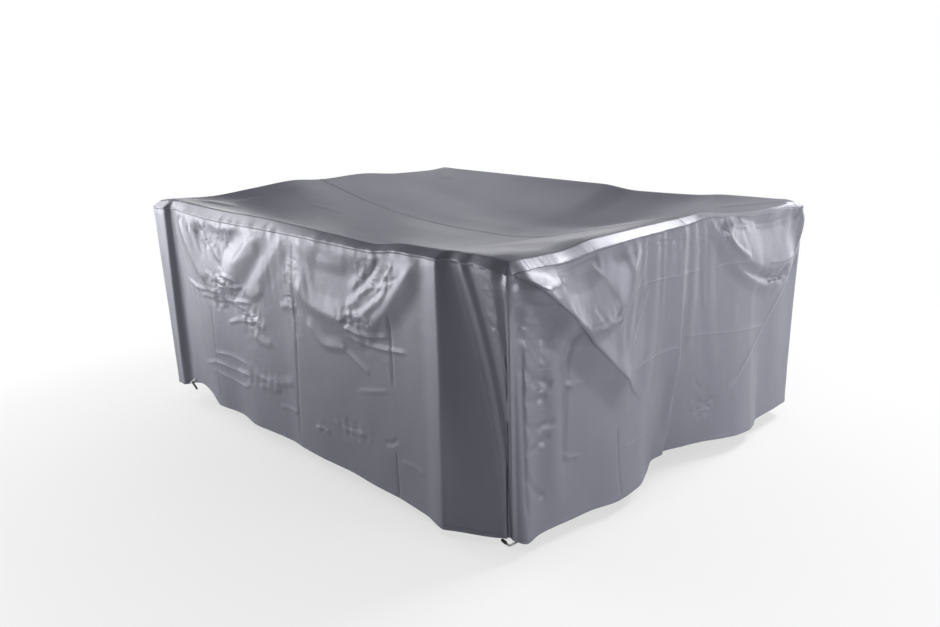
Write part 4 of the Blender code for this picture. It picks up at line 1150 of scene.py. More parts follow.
def top_points(x_part, y_part):
    """Points of the top over a square from -1 to 1 each way: the rim's heights carried across,
    less the sag, with a roll of a quarter superellipse along the edge that turns about each
    corner as part of a ball. The puckers of the seam run up the roll, and the folds stand on the
    top."""
    half = np.array([LENGTH, WIDTH]) / 2
    parts = np.stack([x_part, y_part], axis=-1)
    edge = np.clip((half - np.abs(parts) * half) / ROLL, 0, 1)
    inward = edge.min(axis=-1)
    outer = 1 - edge
    narrow = outer.min(axis=-1) / np.maximum(outer.max(axis=-1), 1e-9)
    right_or_left = outer[..., 0] >= outer[..., 1]
    on_corner = (edge < 1).all(axis=-1)
    turned = np.where(right_or_left, narrow, 2 - narrow) * math.pi / 4
    turn = np.where(on_corner, turned, np.where(right_or_left, 0.0, math.pi / 2))
    rim_parts = 1 - (1 - narrow)[..., None] * ROLL / half
    ways = ways_of(np.where(on_corner[..., None], np.sign(parts) * rim_parts, parts), half)
    x_way = np.where(parts[..., 0] >= 0, ways["right"], ways["left"])
    y_way = np.where(parts[..., 1] >= 0, ways["back"], ways["front"])
    way = np.where(right_or_left, x_way, y_way)
    pucker = np.where(inward < 1, pucker_out(way, np.zeros_like(way), inward), 0.0)
    angle = inward * math.pi / 2
    over, up = np.cos(angle) ** RIM_POWER, np.sin(angle) ** RIM_POWER
    facing = np.stack([np.cos(turn), np.sin(turn)], axis=-1) * np.sign(parts)
    rolled = half - (1 - np.cos(edge * math.pi / 2) ** RIM_POWER) * ROLL
    reach = np.where(edge < 1, rolled, np.abs(parts) * half)
    ball = half - ROLL + over[..., None] * ROLL * np.abs(facing)
    place = np.where(on_corner[..., None], ball, reach) * np.sign(parts)
    crest, depth = rim_over(parts, half)
    across = np.abs(place) / half
    sag = SAG_DEPTH * (1 - across[..., 0] ** SAG_POWER_X) * (1 - across[..., 1] ** SAG_POWER_Y)
    place = place + edge_play(parts, half) + facing * (pucker * over)[..., None]
    height = crest - sag - depth * (1 - up) + pucker * up
    height += top_folds_at(place[..., 0], place[..., 1]) * smooth(inward)
    return np.concatenate([place, height[..., None] - ORIGIN_HEIGHT], axis=-1)


# ---------------------------------------------------------------------------------------------
# Meshes


def put(name, data):
    """An object with this data, in the scene."""
    item = bpy.data.objects.new(name, data)
    bpy.context.scene.collection.objects.link(item)
    return item


def quads(index):
    """The quads between the places of a grid of indices."""
    corners = [index[:-1, :-1], index[:-1, 1:], index[1:, 1:], index[1:, :-1]]
    return np.stack(corners, axis=-1).reshape(-1, 4)


def grid_faces(rows, columns):
    """The quads of a grid, wound so that a grid read left to right and bottom to top faces out."""
    return quads(np.arange(rows * columns).reshape(rows, columns))


def closed_rings(rings, sides):
    """The indices of a stack of closed rings, each with its first place repeated at its end."""
    index = np.arange(rings * sides).reshape(rings, sides)
    return np.concatenate([index, index[:, :1]], axis=1)


def squared_round(turn, power):
    """The two parts of a superellipse's rim at a turn: those of a circle, each with its sign and
    raised to a power below 1, which fills out the corners."""
    return [np.sign(part) * np.abs(part) ** power for part in (np.cos(turn), np.sin(turn))]


def normals_of(points):
    """The normals of a grid: the cross product of its two slopes."""
    normal = np.cross(np.gradient(points, axis=1), np.gradient(points, axis=0))
    return normal / np.maximum(np.linalg.norm(normal, axis=-1, keepdims=True), 1e-12)


def mesh_piece(name, vertices, faces, material, uv=None):
    """An object at the origin from arrays of vertices and lists of faces, with its own material
    and a UV map in metres of cloth."""
    mesh = bpy.data.meshes.new(name)
    mesh.from_pydata(vertices.tolist(), [], faces)
    mesh.shade_smooth()
    if uv is not None:
        layer = mesh.uv_layers.new(name="cloth")
        corners = np.empty(len(mesh.loops), dtype=np.int32)
        mesh.loops.foreach_get("vertex_index", corners)
        layer.data.foreach_set("uv", uv[corners].astype(np.float32).ravel())
    mesh.materials.append(material)
    piece = put(name, mesh)
    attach(piece, "root")
    return piece


def set_field(piece, label, values):
    """A named value at each vertex, for the material."""
    attribute = piece.data.attributes.new(label, "FLOAT", "POINT")
    attribute.data.foreach_set("value", values.astype(np.float32).ravel())


def give_thickness(piece, thickness):
    """Cloth thickness inwards from the outer face."""
    shell = piece.modifiers.new("thickness", "SOLIDIFY")
    shell.thickness = thickness
    shell.offset = -1


def face_outwards(piece):
    """Merge a closed shape's doubles, close its poles and turn its faces outwards."""
    shape = bmesh.new()
    shape.from_mesh(piece.data)
    bmesh.ops.remove_doubles(shape, verts=shape.verts, dist=1e-6)
    bmesh.ops.holes_fill(shape, edges=shape.edges)
    bmesh.ops.recalc_face_normals(shape, faces=shape.faces)
    shape.to_mesh(piece.data)
    shape.free()
    piece.data.shade_smooth()


# ---------------------------------------------------------------------------------------------
# Node groups


def made_once(store, name):
    """Turns a maker of shared data into one that first looks for what it has made before."""
    def shared(make):
        def give():
            return getattr(bpy.data, store).get(name) or make(name)
        give.__doc__ = make.__doc__
        return give
    return shared


def new_group(name, inputs, outputs):
    """An empty shader node group with named sockets, and the sockets of its input and output
    nodes. An input's kind follows from its default: a number, a colour or, where there is none, a
    vector."""
    group = bpy.data.node_groups.new(name, "ShaderNodeTree")
    for label, default in inputs.items():
        kind = "Vector" if default is None else "Float" if isinstance(default, float) else "Color"
        socket = group.interface.new_socket(
            label, in_out="INPUT", socket_type=f"NodeSocket{kind}")
        if default is not None:
            socket.default_value = default
    for label in outputs:
        kind = "Color" if label == "Color" else "Float"
        group.interface.new_socket(label, in_out="OUTPUT", socket_type=f"NodeSocket{kind}")
    given, out = group.nodes.new("NodeGroupInput"), group.nodes.new("NodeGroupOutput")
    return group, given.outputs, out.inputs


def add(tree, kind, inputs=(), **settings):
    """A node with its settings, and its inputs linked from sockets or set to values."""
    node = tree.nodes.new(kind)
    for name, value in settings.items():
        setattr(node, name, value)
    fill(tree, node, inputs)
    return node


def fill(tree, node, inputs):
    """Links a node's inputs from sockets, or sets them to values."""
    for name, value in dict(inputs).items():
        if isinstance(value, bpy.types.NodeSocket):
            tree.links.new(value, node.inputs[name])
        else:
            node.inputs[name].default_value = value


def math_node(tree, operation, first, second=0.0):
    """The output of a Math node."""
    return add(tree, "ShaderNodeMath", {0: first, 1: second}, operation=operation).outputs[0]


def scaled(tree, vector, scale):
    """A vector times a number."""
    inputs = {0: vector, "Scale": scale}
    return add(tree, "ShaderNodeVectorMath", inputs, operation="SCALE").outputs[0]


def noise(tree, vector, scale, detail, **inputs):
    """The value of a Noise texture."""
    inputs = {"Vector": vector, "Scale": scale, "Detail": detail, **inputs}
    return add(tree, "ShaderNodeTexNoise", inputs).outputs[0]


@made_once("node_groups", "plain weave")
def plain_weave_group(name):
    """Plain weave on the UV map: the threads of both ways as rounded ridges, each over the other
    in turn, as a height for a bump."""
    group, given, out = new_group(name, {"Vector": None, "Threads per metre": 1600.0}, ["Height"])
    vector = scaled(group, given["Vector"], given["Threads per metre"])
    parts = add(group, "ShaderNodeSeparateXYZ", {0: vector}).outputs
    warp, weft = (
        math_node(group, "SINE", math_node(group, "MULTIPLY", parts[axis], math.pi))
        for axis in (0, 1)
    )
    over = math_node(group, "MULTIPLY", warp, weft)
    which = math_node(group, "ADD", math_node(group, "MULTIPLY", over, 0.5), 0.5)
    heights = [math_node(group, "ABSOLUTE", thread_wave) for thread_wave in (warp, weft)]
    blend = add(group, "ShaderNodeMix", {0: which, 2: heights[0], 3: heights[1]}, data_type="FLOAT")
    group.links.new(blend.outputs[0], out["Height"])
    return group


@made_once("node_groups", "fine crinkle")
def crinkle_group(name):
    """Fine crinkles of coated cloth: ridged noise at two sizes, as a height for a bump."""
    group, given, out = new_group(name, {"Vector": None, "Size": 0.05}, ["Height"])
    vector = scaled(group, given["Vector"], math_node(group, "DIVIDE", 1.0, given["Size"]))
    heights = []
    for scale in (1.0, 2.7):
        value = noise(group, vector, scale, 2.0, Roughness=0.45, Distortion=0.3)
        heights.append(math_node(group, "ABSOLUTE", math_node(group, "SUBTRACT", value, 0.5)))
    fine = math_node(group, "MULTIPLY", heights[1], 0.45)
    group.links.new(math_node(group, "ADD", heights[0], fine), out["Height"])
    return group


@made_once("node_groups", "sharp crumple")
def crumple_group(name):
    """The small sharp wrinkles where the cloth is bunched up: two layers of ridged noise, bent
    and stretched along the first axis, whose height is scaled by how crumpled the cloth is."""
    inputs = {"Vector": None, "Size": 0.03, "Stretch": 0.36, "Crumpled": 0.0}
    group, given, out = new_group(name, inputs, ["Height"])
    along = add(group, "ShaderNodeCombineXYZ", {0: given["Stretch"], 1: 1.0, 2: 1.0}).outputs[0]
    stretched = add(
        group, "ShaderNodeVectorMath", {0: given["Vector"], 1: along}, operation="MULTIPLY")
    per_size = math_node(group, "DIVIDE", 1.0, given["Size"])
    vector = scaled(group, stretched.outputs[0], per_size)
    layers = []
    for scale, bend in ((0.75, 0.9), (1.7, 0.6)):
        value = noise(group, vector, scale, 1.0, Roughness=0.4, Distortion=bend)
        from_middle = math_node(group, "ABSOLUTE", math_node(group, "SUBTRACT", value, 0.5))
        layers.append(math_node(group, "MULTIPLY", from_middle, -1.0 / scale))
    height = math_node(group, "MULTIPLY", math_node(group, "ADD", *layers), given["Crumpled"])
    group.links.new(height, out["Height"])
    return group


@made_once("node_groups", "crease line")
def crease_line_group(name):
    """A thin line where the distance to a crease is nothing: a bell curve of it times the crease's
    strength, more than 0 on a ridge and less in a trough."""
    group, given, out = new_group(name, {"Gap": 1.0, "Strength": 0.0, "Width": 0.002}, ["Line"])
    share = math_node(group, "DIVIDE", given["Gap"], given["Width"])
    squared = math_node(group, "MULTIPLY", math_node(group, "MULTIPLY", share, share), -1.0)
    bell = math_node(group, "EXPONENT", squared)
    group.links.new(math_node(group, "MULTIPLY", bell, given["Strength"]), out["Line"])
    return group


@made_once("node_groups", "soft tone")
def soft_tone_group(name):
    """A base colour with a slow, slight drift in lightness over the cloth, and the given change
    of tone along its creases."""
    inputs = {"Vector": None, "Color": (0.5, 0.5, 0.5, 1.0), "Drift": 0.06, "Tone": 0.0}
    group, given, out = new_group(name, inputs, ["Color", "Mask"])
    value = noise(group, given["Vector"], 3.5, 3.0)
    centred = math_node(group, "SUBTRACT", value, 0.5)
    drift = math_node(group, "MULTIPLY", centred, given["Drift"])
    factor = math_node(group, "ADD", math_node(group, "ADD", drift, given["Tone"]), 1.0)
    group.links.new(scaled(group, given["Color"], factor), out["Color"])
    group.links.new(value, out["Mask"])
    return group


# ---------------------------------------------------------------------------------------------
# Materials


def fresh_material(name):
    """A material with only a Principled shader and an output, its node tree and the shader."""
    material = bpy.data.materials.new(name)
    material.use_nodes = True
    return material, material.node_tree, material.node_tree.nodes["Principled BSDF"]


def on_cloth(tree):
    """The place on the flat cloth, in metres."""
    return add(tree, "ShaderNodeUVMap", uv_map="cloth").outputs[0]


def on_object(tree):
    """The place on the object, in metres."""
    return add(tree, "ShaderNodeTexCoord").outputs["Object"]


def field(tree, name):
    """A value that a piece holds at its vertices."""
    return add(tree, "ShaderNodeAttribute", attribute_name=name).outputs["Fac"]


def from_group(tree, group, inputs):
    """The outputs of a node group that is used in a material."""
    return add(tree, "ShaderNodeGroup", inputs, node_tree=group).outputs


def bump(tree, strength, distance, height, **below):
    """A normal bent by a height, on top of the normal below where one is given as Normal."""
    inputs = {"Strength": strength, "Distance": distance, "Height": height, **below}
    return add(tree, "ShaderNodeBump", inputs).outputs[0]


@made_once("materials", "coated cloth")
def coated_cloth(name):
    """Grey polyester with a thin coating: a soft gloss, a fine plain weave, small crinkles,
    sharper wrinkles where it is crumpled, and a thin worn line along each sharp crease."""
    given = bpy.context.scene.cover_cloth
    material, tree, shader = fresh_material(name)
    uv = on_cloth(tree)
    line = from_group(tree, crease_line_group(), {
        "Gap": field(tree, "crease_gap"), "Strength": field(tree, "crease_strength"),
        "Width": given.crease_width})["Line"]
    # The crease line tints the colour: painted shade in the troughs, and on the ridges a paler line
    # that is partly worn coating and partly painted highlight.
    tone = from_group(tree, soft_tone_group(), {
        "Vector": uv, "Color": (*given.colour, 1.0), "Drift": given.drift,
        "Tone": math_node(tree, "MULTIPLY", line, given.painted_crease_light_and_wear)})
    crinkle = from_group(tree, crinkle_group(), {"Vector": uv, "Size": given.crinkle_size})
    crumple = from_group(tree, crumple_group(), {
        "Vector": uv, "Size": given.crumple_size, "Crumpled": field(tree, "crumpled")})
    weave = from_group(
        tree, plain_weave_group(), {"Vector": uv, "Threads per metre": given.threads})
    gloss = add(tree, "ShaderNodeMapRange", {
        0: tone["Mask"], 1: 0.3, 2: 0.7,
        3: given.roughness - GLOSS_PLAY, 4: given.roughness + GLOSS_PLAY})
    normal = bump(tree, given.crinkle, CRINKLE_DEPTH, crinkle["Height"])
    normal = bump(tree, given.crumple, CRUMPLE_DEPTH, crumple["Height"], Normal=normal)
    normal = bump(tree, 1.0, given.crease_depth, line, Normal=normal)
    normal = bump(tree, WEAVE_STRENGTH, WEAVE_DEPTH, weave["Height"], Normal=normal)
    fill(tree, shader, {
        "Base Color": tone["Color"], "Roughness": gloss.outputs[0], "Metallic": given.metallic,
        "Specular IOR Level": 0.5, "Sheen Weight": given.sheen, "Sheen Roughness": 0.35,
        "Normal": normal})
    return material


@made_once("materials", "thread")
def thread(name):
    """Sewing thread, a little darker and duller than the cloth."""
    material, tree, shader = fresh_material(name)
    colour = [THREAD_SHADE * part for part in bpy.context.scene.cover_cloth.colour]
    tone = from_group(tree, soft_tone_group(), {
        "Vector": on_object(tree), "Color": (*colour, 1.0), "Drift": 0.3})
    fill(tree, shader, {"Base Color": tone["Color"], "Roughness": 0.6})
    return material


@made_once("materials", "webbing")
def webbing(name):
    """Pale woven tape with a plain weave, a little soiled."""
    given = bpy.context.scene.cover_ties
    material, tree, shader = fresh_material(name)
    uv = on_cloth(tree)
    tone = from_group(tree, soft_tone_group(), {
        "Vector": uv, "Color": (*given.webbing_colour, 1.0), "Drift": 0.25})
    weave = from_group(
        tree, plain_weave_group(), {"Vector": uv, "Threads per metre": given.webbing_threads})
    fill(tree, shader, {
        "Base Color": tone["Color"], "Roughness": 0.65, "Sheen Weight": 0.3,
        "Normal": bump(tree, 0.7, WEBBING_DEPTH, weave["Height"])})
    return material


@made_once("materials", "moulded plastic")
def moulded_plastic(name):
    """Black moulded plastic with a faint grain."""
    material, tree, shader = fresh_material(name)
    place = on_object(tree)
    colour = bpy.context.scene.cover_ties.toggle_colour
    tone = from_group(tree, soft_tone_group(), {
        "Vector": place, "Color": (*colour, 1.0), "Drift": 0.3})
    grain = noise(tree, place, 2600.0, 1.0)
    fill(tree, shader, {
        "Base Color": tone["Color"], "Roughness": 0.4,
        "Normal": bump(tree, 0.15, GRAIN_DEPTH, grain)})
    return material


# ---------------------------------------------------------------------------------------------
# Pieces


def panel_points(side, shape):
    """A side panel's grid of points, top row first. Its columns and rows are read from the
    settled strip, or from the drawn folds where shape holds strokes."""
    ways, down = side_grid(side)
    way, part = np.meshgrid(ways, down)
    if isinstance(shape, list):
        return way, part, side_points(way, part * drop_at(way), shape)
    strip_ways, strip_down, strip = shape
    turned = np.where(ways > strip_ways[-1], ways - GIRTH, ways)
    columns = between_knots(strip_ways, strip.transpose(1, 0, 2), turned)
    return way, part, between_knots(strip_down, columns.transpose(1, 0, 2), down)


def make_side(side, shape, fine):
    """One side panel: the fine detail stands on its points along their normals."""
    way, part, points = (grid[::-1] for grid in panel_points(side, shape))
    below = part * drop_at(way)
    height = seam_height(way) - below
    points = points + normals_of(points) * fine_out(way, below, fine)[..., None]
    uv = np.stack([way, height], axis=-1).reshape(-1, 2)
    faces = grid_faces(*way.shape).tolist()
    piece = mesh_piece(f"cover_{side}", points.reshape(-1, 3), faces, coated_cloth(), uv)
    # Where the sharp creases run, for the material's crease bump and its painted crease shade and
    # highlight, partly wear on the ridges.
    gap, strength = crease_field(way, height, fine)
    set_field(piece, "crumpled", near_patches(way, height, CRUMPLED_SPREAD))
    set_field(piece, "crease_gap", gap)
    set_field(piece, "crease_strength", strength)
    give_thickness(piece, bpy.context.scene.cover_cloth.thickness)
    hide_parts(f"skirt_{side}")
    PANELS[side] = points
    return piece


def make_top(name, near):
    """One width of the top, near or far, with the lap that runs down over the side panels' upper
    edge. The near width laps over the far one along the middle seam."""
    xs, ys = stations(LENGTH), stations(WIDTH)
    if near:
        ys = np.append(ys[ys < -TOP_LAP], TOP_SEAM_LINES)
    else:
        ys = np.insert(ys[ys > TOP_LAP], 0, TOP_TUCK)
    x_part, y_part = np.meshgrid(xs / (LENGTH / 2), ys / (WIDTH / 2))
    points = top_points(x_part, y_part)
    rows, columns = x_part.shape
    index = np.arange(rows * columns).reshape(rows, columns)
    if near:
        points[..., 2] += TOP_LAP_RISE * smooth(1 + ys / TOP_LAP)[:, None]
        loop = np.concatenate([index[::-1, 0], index[0, 1:], index[1:, -1]])
        start = middle_of("left") - ys[-1]
    else:
        loop = np.concatenate([index[:, -1], index[-1, -2::-1], index[-2::-1, 0]])
        start = middle_of("right") + ys[0]
    flat = np.stack([x_part * LENGTH / 2, y_part * WIDTH / 2], axis=-1).reshape(-1, 2)
    below = np.array(LAP)
    lap_way, lap_below = np.meshgrid(start + run_along(flat[loop]), below)
    lap = side_points(lap_way, lap_below, (), pucker_out(lap_way, lap_below, 0.0))
    rings = np.concatenate([
        loop[None], rows * columns + np.arange(lap_way.size).reshape(lap_way.shape)])
    faces = [*quads(index).tolist(), *quads(rings[::-1]).tolist()]
    lap_uv = flat[loop] + below[:, None, None] * np.sign(flat[loop])
    uv = np.concatenate([flat, lap_uv.reshape(-1, 2)])
    vertices = np.concatenate([points.reshape(-1, 3), lap.reshape(-1, 3)])
    piece = mesh_piece(f"cover_{name}", vertices, faces, coated_cloth(), uv)
    edge = np.minimum((1 - np.abs(x_part)) * LENGTH / 2, (1 - np.abs(y_part)) * WIDTH / 2)
    crumpled = RIM_CRUMPLE * smooth(1 - edge / RIM_CRUMPLE_WIDTH)
    set_field(piece, "crumpled", np.append(crumpled, np.full(lap_way.size, RIM_CRUMPLE)))
    give_thickness(piece, bpy.context.scene.cover_cloth.thickness)
    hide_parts(name)
    PANELS[name] = lap
    if near:
        PANELS["top_seam"] = points
    return piece


def stitches_along(line, normal):
    """Small stitches end to end along a line on the cloth: each a three-sided bar, half sunk,
    whose two ends are drawn down to the surface. Returns its vertices and faces."""
    span = run_along(line)
    count = int(span[-1] / STITCH_SPACING)
    middle = (np.arange(count) + 0.5) * STITCH_SPACING

    def at(where, values):
        """Values along the line, read at other places, straight between its points."""
        return np.stack([np.interp(where, span, column) for column in values.T], axis=-1)

    start, end = at(middle - STITCH_LENGTH / 2, line), at(middle + STITCH_LENGTH / 2, line)
    up, ahead = at(middle, normal), unit(end - start)
    aside = np.cross(ahead, up) * STITCH_WIDTH / 2
    high = up * STITCH_HEIGHT
    taper = ahead * STITCH_LENGTH * STITCH_END
    near, far = start + taper, end - taper
    corners = np.stack([start, near + aside, near - aside, near + high,
                        far + aside, far - aside, far + high, end], axis=1)
    ends = [[0, 2, 3], [0, 3, 1], [0, 1, 2], [7, 6, 5], [7, 4, 6], [7, 5, 4]]
    walls = [[1, 3, 6], [3, 2, 5], [2, 1, 4], [1, 6, 4], [3, 5, 6], [2, 4, 5]]
    index = np.array(ends + walls) + len(corners[0]) * np.arange(count)[:, None, None]
    return corners.reshape(-1, 3), index.reshape(-1, 3)


def make_stitches(name, lines):
    """One joined mesh of the stitches along several (points, normals) lines."""
    vertices, faces, used = [], [], 0
    for line, normal in lines:
        corners, triangles = stitches_along(line, normal)
        vertices.append(corners)
        faces.append(triangles + used)
        used += len(corners)
    triangles = np.concatenate(faces).tolist()
    piece = mesh_piece(name, np.concatenate(vertices), triangles, thread())
    return piece


def make_tie(place, tie):
    """A strip of webbing: a flat oval section, a superellipse with a rolled selvedge at either
    edge, carried along a smooth curve through the tie's points, with closed ends. Its width lies
    square to both the curve and the mean way out."""
    line = np.array(tie.line)
    span = run_along(line)
    at = np.linspace(0, span[-1], TIE_SECTIONS)
    middle = np.stack([through(span, column, at) for column in line.T], axis=1)
    middle[:, 2] -= ORIGIN_HEIGHT
    ahead = unit(np.gradient(middle, axis=0))
    across = unit(np.cross(ahead, unit(np.cross(ahead, (0, 0, 1.0)).mean(axis=0))))
    out = np.cross(across, ahead)
    turn = np.linspace(0, 2 * math.pi, TIE_SIDES, endpoint=False)
    share = squared_round(turn, TIE_POWER)[0]
    selvedge = 1 + SELVEDGE_RISE * smooth((np.abs(share) - SELVEDGE_FROM) / SELVEDGE_STEP)
    wide = share * TIE_WIDTH / 2
    thick = np.sin(turn) * TIE_THICKNESS / 2 * selvedge
    points = middle[:, None] + across[:, None] * wide[:, None] + out[:, None] * thick[:, None]
    index = closed_rings(TIE_SECTIONS, TIE_SIDES)
    pole = np.full(TIE_SIDES, TIE_SECTIONS * TIE_SIDES)
    ends = np.concatenate([
        np.stack([index[0, 1:], index[0, :-1], pole], axis=-1),
        np.stack([index[-1, :-1], index[-1, 1:], pole + 1], axis=-1),
    ])
    uv = np.stack(np.broadcast_arrays(wide, at[:, None]), axis=-1).reshape(-1, 2)
    uv = np.concatenate([uv, [[0.0, at[0]], [0.0, at[-1]]]])
    vertices = np.concatenate([points.reshape(-1, 3), middle[[0, -1]]])
    faces = [*quads(index).tolist(), *ends.tolist()]
    piece = mesh_piece(f"cover_tie_{place}", vertices, faces, webbing(), uv)
    face_outwards(piece)
    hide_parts(f"tie_{place}")
    return piece


def make_toggle(place, tie):
    """A moulded toggle: a superellipse section that narrows to round ends, with grip grooves, each
    a bell curve, round its middle."""
    along = np.sin(np.linspace(-math.pi / 2, math.pi / 2, TOGGLE_SECTIONS))
    turn = np.linspace(0, 2 * math.pi, TOGGLE_SIDES, endpoint=False)
    narrow = (1 - np.abs(along) ** TOGGLE_END_POWER) ** 0.5
    grooves = sum(np.exp(-(((along - grip) / GRIP_WIDTH) ** 2)) for grip in GRIP_PLACES)
    size = np.maximum(narrow * (1 - GRIP_DEPTH * grooves), 1e-3)[:, None]
    wide, high = squared_round(turn, TOGGLE_POWER)
    x = along[:, None] * tie.length / 2
    y, z = wide * TOGGLE_DEPTH / 2 * size, high * TOGGLE_HEIGHT / 2 * size
    angle, tilt = math.radians(tie.turn), math.radians(tie.tilt)
    ahead, down = x * math.cos(tilt) + z * math.sin(tilt), x * math.sin(tilt) - z * math.cos(tilt)
    points = np.stack([
        tie.toggle[0] + ahead * math.cos(angle) - y * math.sin(angle),
        tie.toggle[1] + ahead * math.sin(angle) + y * math.cos(angle),
        tie.toggle[2] - ORIGIN_HEIGHT - down,
    ], axis=-1)
    faces = quads(closed_rings(*y.shape)).tolist()
    piece = mesh_piece(f"cover_toggle_{place}", points.reshape(-1, 3), faces, moulded_plastic())
    face_outwards(piece)
    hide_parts(f"toggle_{place}")
    return piece


# ---------------------------------------------------------------------------------------------
# The stage


def area_light(given, brightness):
    """A soft rectangular light that stands at its turn, distance and height, aimed at the cover."""
    light = bpy.data.lights.new(given.name, "AREA")
    light.shape = "RECTANGLE"
    light.size, light.size_y = given.wide, LIGHT_TALL
    light.energy = given.power * brightness
    item = put(given.name, light)
    item.visible_camera = False
    angle = math.radians(given.turn)
    out = given.distance
    place = Vector((out * math.cos(angle), out * math.sin(angle), given.height))
    ahead = Vector(LIGHT_AIM) - place
    turned = ahead.to_track_quat("-Z", "Y").to_matrix().to_4x4()
    item.matrix_world = Matrix.Translation(place) @ turned


def make_camera():
    """The camera at the photograph's place and angle."""
    yaw, down, roll = CAMERA_YAW, CAMERA_DOWN, CAMERA_ROLL
    level_ahead = np.array([math.sin(yaw), math.cos(yaw), 0.0])
    ahead = level_ahead * math.cos(down) + np.array([0.0, 0.0, -math.sin(down)])
    level = np.array([math.cos(yaw), -math.sin(yaw), 0.0])
    upright = np.cross(level, ahead)
    right = level * math.cos(roll) + upright * math.sin(roll)
    up = -level * math.sin(roll) + upright * math.cos(roll)
    place = np.array(CAMERA_PLACE) - (0.0, 0.0, ORIGIN_HEIGHT)
    data = bpy.data.cameras.new("camera")
    data.sensor_width = SENSOR
    data.lens = FOCAL_PIXELS * SENSOR / IMAGE_WIDTH
    data.clip_end = CAMERA_SIGHT
    camera = put("camera", data)
    axes = np.stack([right, up, -ahead, place], axis=1)
    camera.matrix_world = Matrix([*axes.tolist(), [0, 0, 0, 1]])
    bpy.context.scene.camera = camera
    return camera


def make_floor():
    """A wide pale floor at ground level, which is white to the camera away from the cover, as the
    white ground of a studio is."""
    given = bpy.context.scene.cover_stage
    material, tree, shader = fresh_material("pale floor")
    fill(tree, shader, {
        "Base Color": (*given.floor_colour, 1.0), "Roughness": 0.9, "Specular IOR Level": 0.1})
    white = add(tree, "ShaderNodeEmission", {"Color": (1, 1, 1, 1), "Strength": 1.0})
    distance = add(tree, "ShaderNodeVectorMath", {0: on_object(tree)}, operation="LENGTH")
    away = add(tree, "ShaderNodeMapRange", {
        0: distance.outputs["Value"], 1: FLOOR_PALE_TO, 2: given.white_from,
        3: given.whiteness, 4: 1.0})
    seen = add(tree, "ShaderNodeLightPath").outputs["Is Camera Ray"]
    share = math_node(tree, "MULTIPLY", away.outputs[0], seen)
    mix = add(tree, "ShaderNodeMixShader", {0: share, 1: shader.outputs[0], 2: white.outputs[0]})
    tree.links.new(mix.outputs[0], tree.nodes["Material Output"].inputs["Surface"])
    half = given.floor_size / 2
    plan_corners = ((-half, -half), (half, -half), (half, half), (-half, half))
    mesh = bpy.data.meshes.new("floor")
    mesh.from_pydata([(x, y, -ORIGIN_HEIGHT) for x, y in plan_corners], [], [(0, 1, 2, 3)])
    mesh.materials.append(material)
    floor = put("floor", mesh)
    return floor


def make_world():
    """An even pale surround: white to the camera and softer as a light."""
    given = bpy.context.scene.cover_stage
    world = bpy.data.worlds.new("surround")
    world.use_nodes = True
    bpy.context.scene.world = world
    tree = world.node_tree
    tree.nodes.clear()
    seen_by_camera = add(tree, "ShaderNodeLightPath").outputs["Is Camera Ray"]
    lit, seen = (
        add(tree, "ShaderNodeBackground", {"Color": (1, 1, 1, 1), "Strength": strength}).outputs[0]
        for strength in (given.surround, 1.0)
    )
    mix = add(tree, "ShaderNodeMixShader", {0: seen_by_camera, 1: lit, 2: seen})
    out = add(tree, "ShaderNodeOutputWorld")
    tree.links.new(mix.outputs[0], out.inputs["Surface"])


# ---------------------------------------------------------------------------------------------
# Properties, operators and panel


class CoverClothSettings(bpy.types.PropertyGroup):
    """The cloth's colour and surface."""

    colour: bpy.props.FloatVectorProperty(
        name="Colour", description="Colour of the cloth", subtype="COLOR", size=3,
        default=(0.200, 0.203, 0.248), min=0.0, max=1.0)
    drift: bpy.props.FloatProperty(
        name="Drift", description="Slight change of tone over the cloth",
        default=0.08, min=0.0, max=1.0, subtype="FACTOR")
    roughness: bpy.props.FloatProperty(
        name="Roughness", description="How soft the gloss is",
        default=0.42, min=0.0, max=1.0, subtype="FACTOR")
    metallic: bpy.props.FloatProperty(
        name="Silver", description="Silvery part of the coating",
        default=0.2, min=0.0, max=1.0, subtype="FACTOR")
    sheen: bpy.props.FloatProperty(
        name="Sheen", description="Soft light at grazing angles",
        default=0.0, min=0.0, max=1.0, subtype="FACTOR")
    crinkle: bpy.props.FloatProperty(
        name="Crinkle", description="Strength of the fine crinkles",
        default=0.3, min=0.0, max=1.0, subtype="FACTOR")
    crinkle_size: bpy.props.FloatProperty(
        name="Crinkle size", description="Size of the fine crinkles",
        default=0.06, min=0.005, max=0.5, unit="LENGTH")
    crumple: bpy.props.FloatProperty(
        name="Crumple", description="Strength of the sharp wrinkles",
        default=0.55, min=0.0, max=1.0, subtype="FACTOR")
    crumple_size: bpy.props.FloatProperty(
        name="Crumple size", description="Size of the sharp wrinkles",
        default=0.04, min=0.005, max=0.5, unit="LENGTH")
    crease_width: bpy.props.FloatProperty(
        name="Crease width", description="Half width of a sharp crease's line",
        default=0.0018, min=0.0002, max=0.02, unit="LENGTH")
    crease_depth: bpy.props.FloatProperty(
        name="Crease depth", description="Depth of a sharp crease's line",
        default=0.0006, min=0.0, max=0.01, unit="LENGTH")
    # How far the crease line darkens a trough, as painted shade, and pales a ridge, partly as worn
    # coating and partly as painted highlight.
    painted_crease_light_and_wear: bpy.props.FloatProperty(
        name="Crease tone", description="How much darker or paler a sharp crease is",
        default=0.35, min=0.0, max=1.0, subtype="FACTOR")
    threads: bpy.props.FloatProperty(
        name="Threads per metre", description="Threads of the weave in a metre",
        default=1600.0, min=100.0, max=4000.0)
    thickness: bpy.props.FloatProperty(
        name="Thickness", description="Thickness of the cloth",
        default=0.0010, min=0.0002, max=0.005, unit="LENGTH")


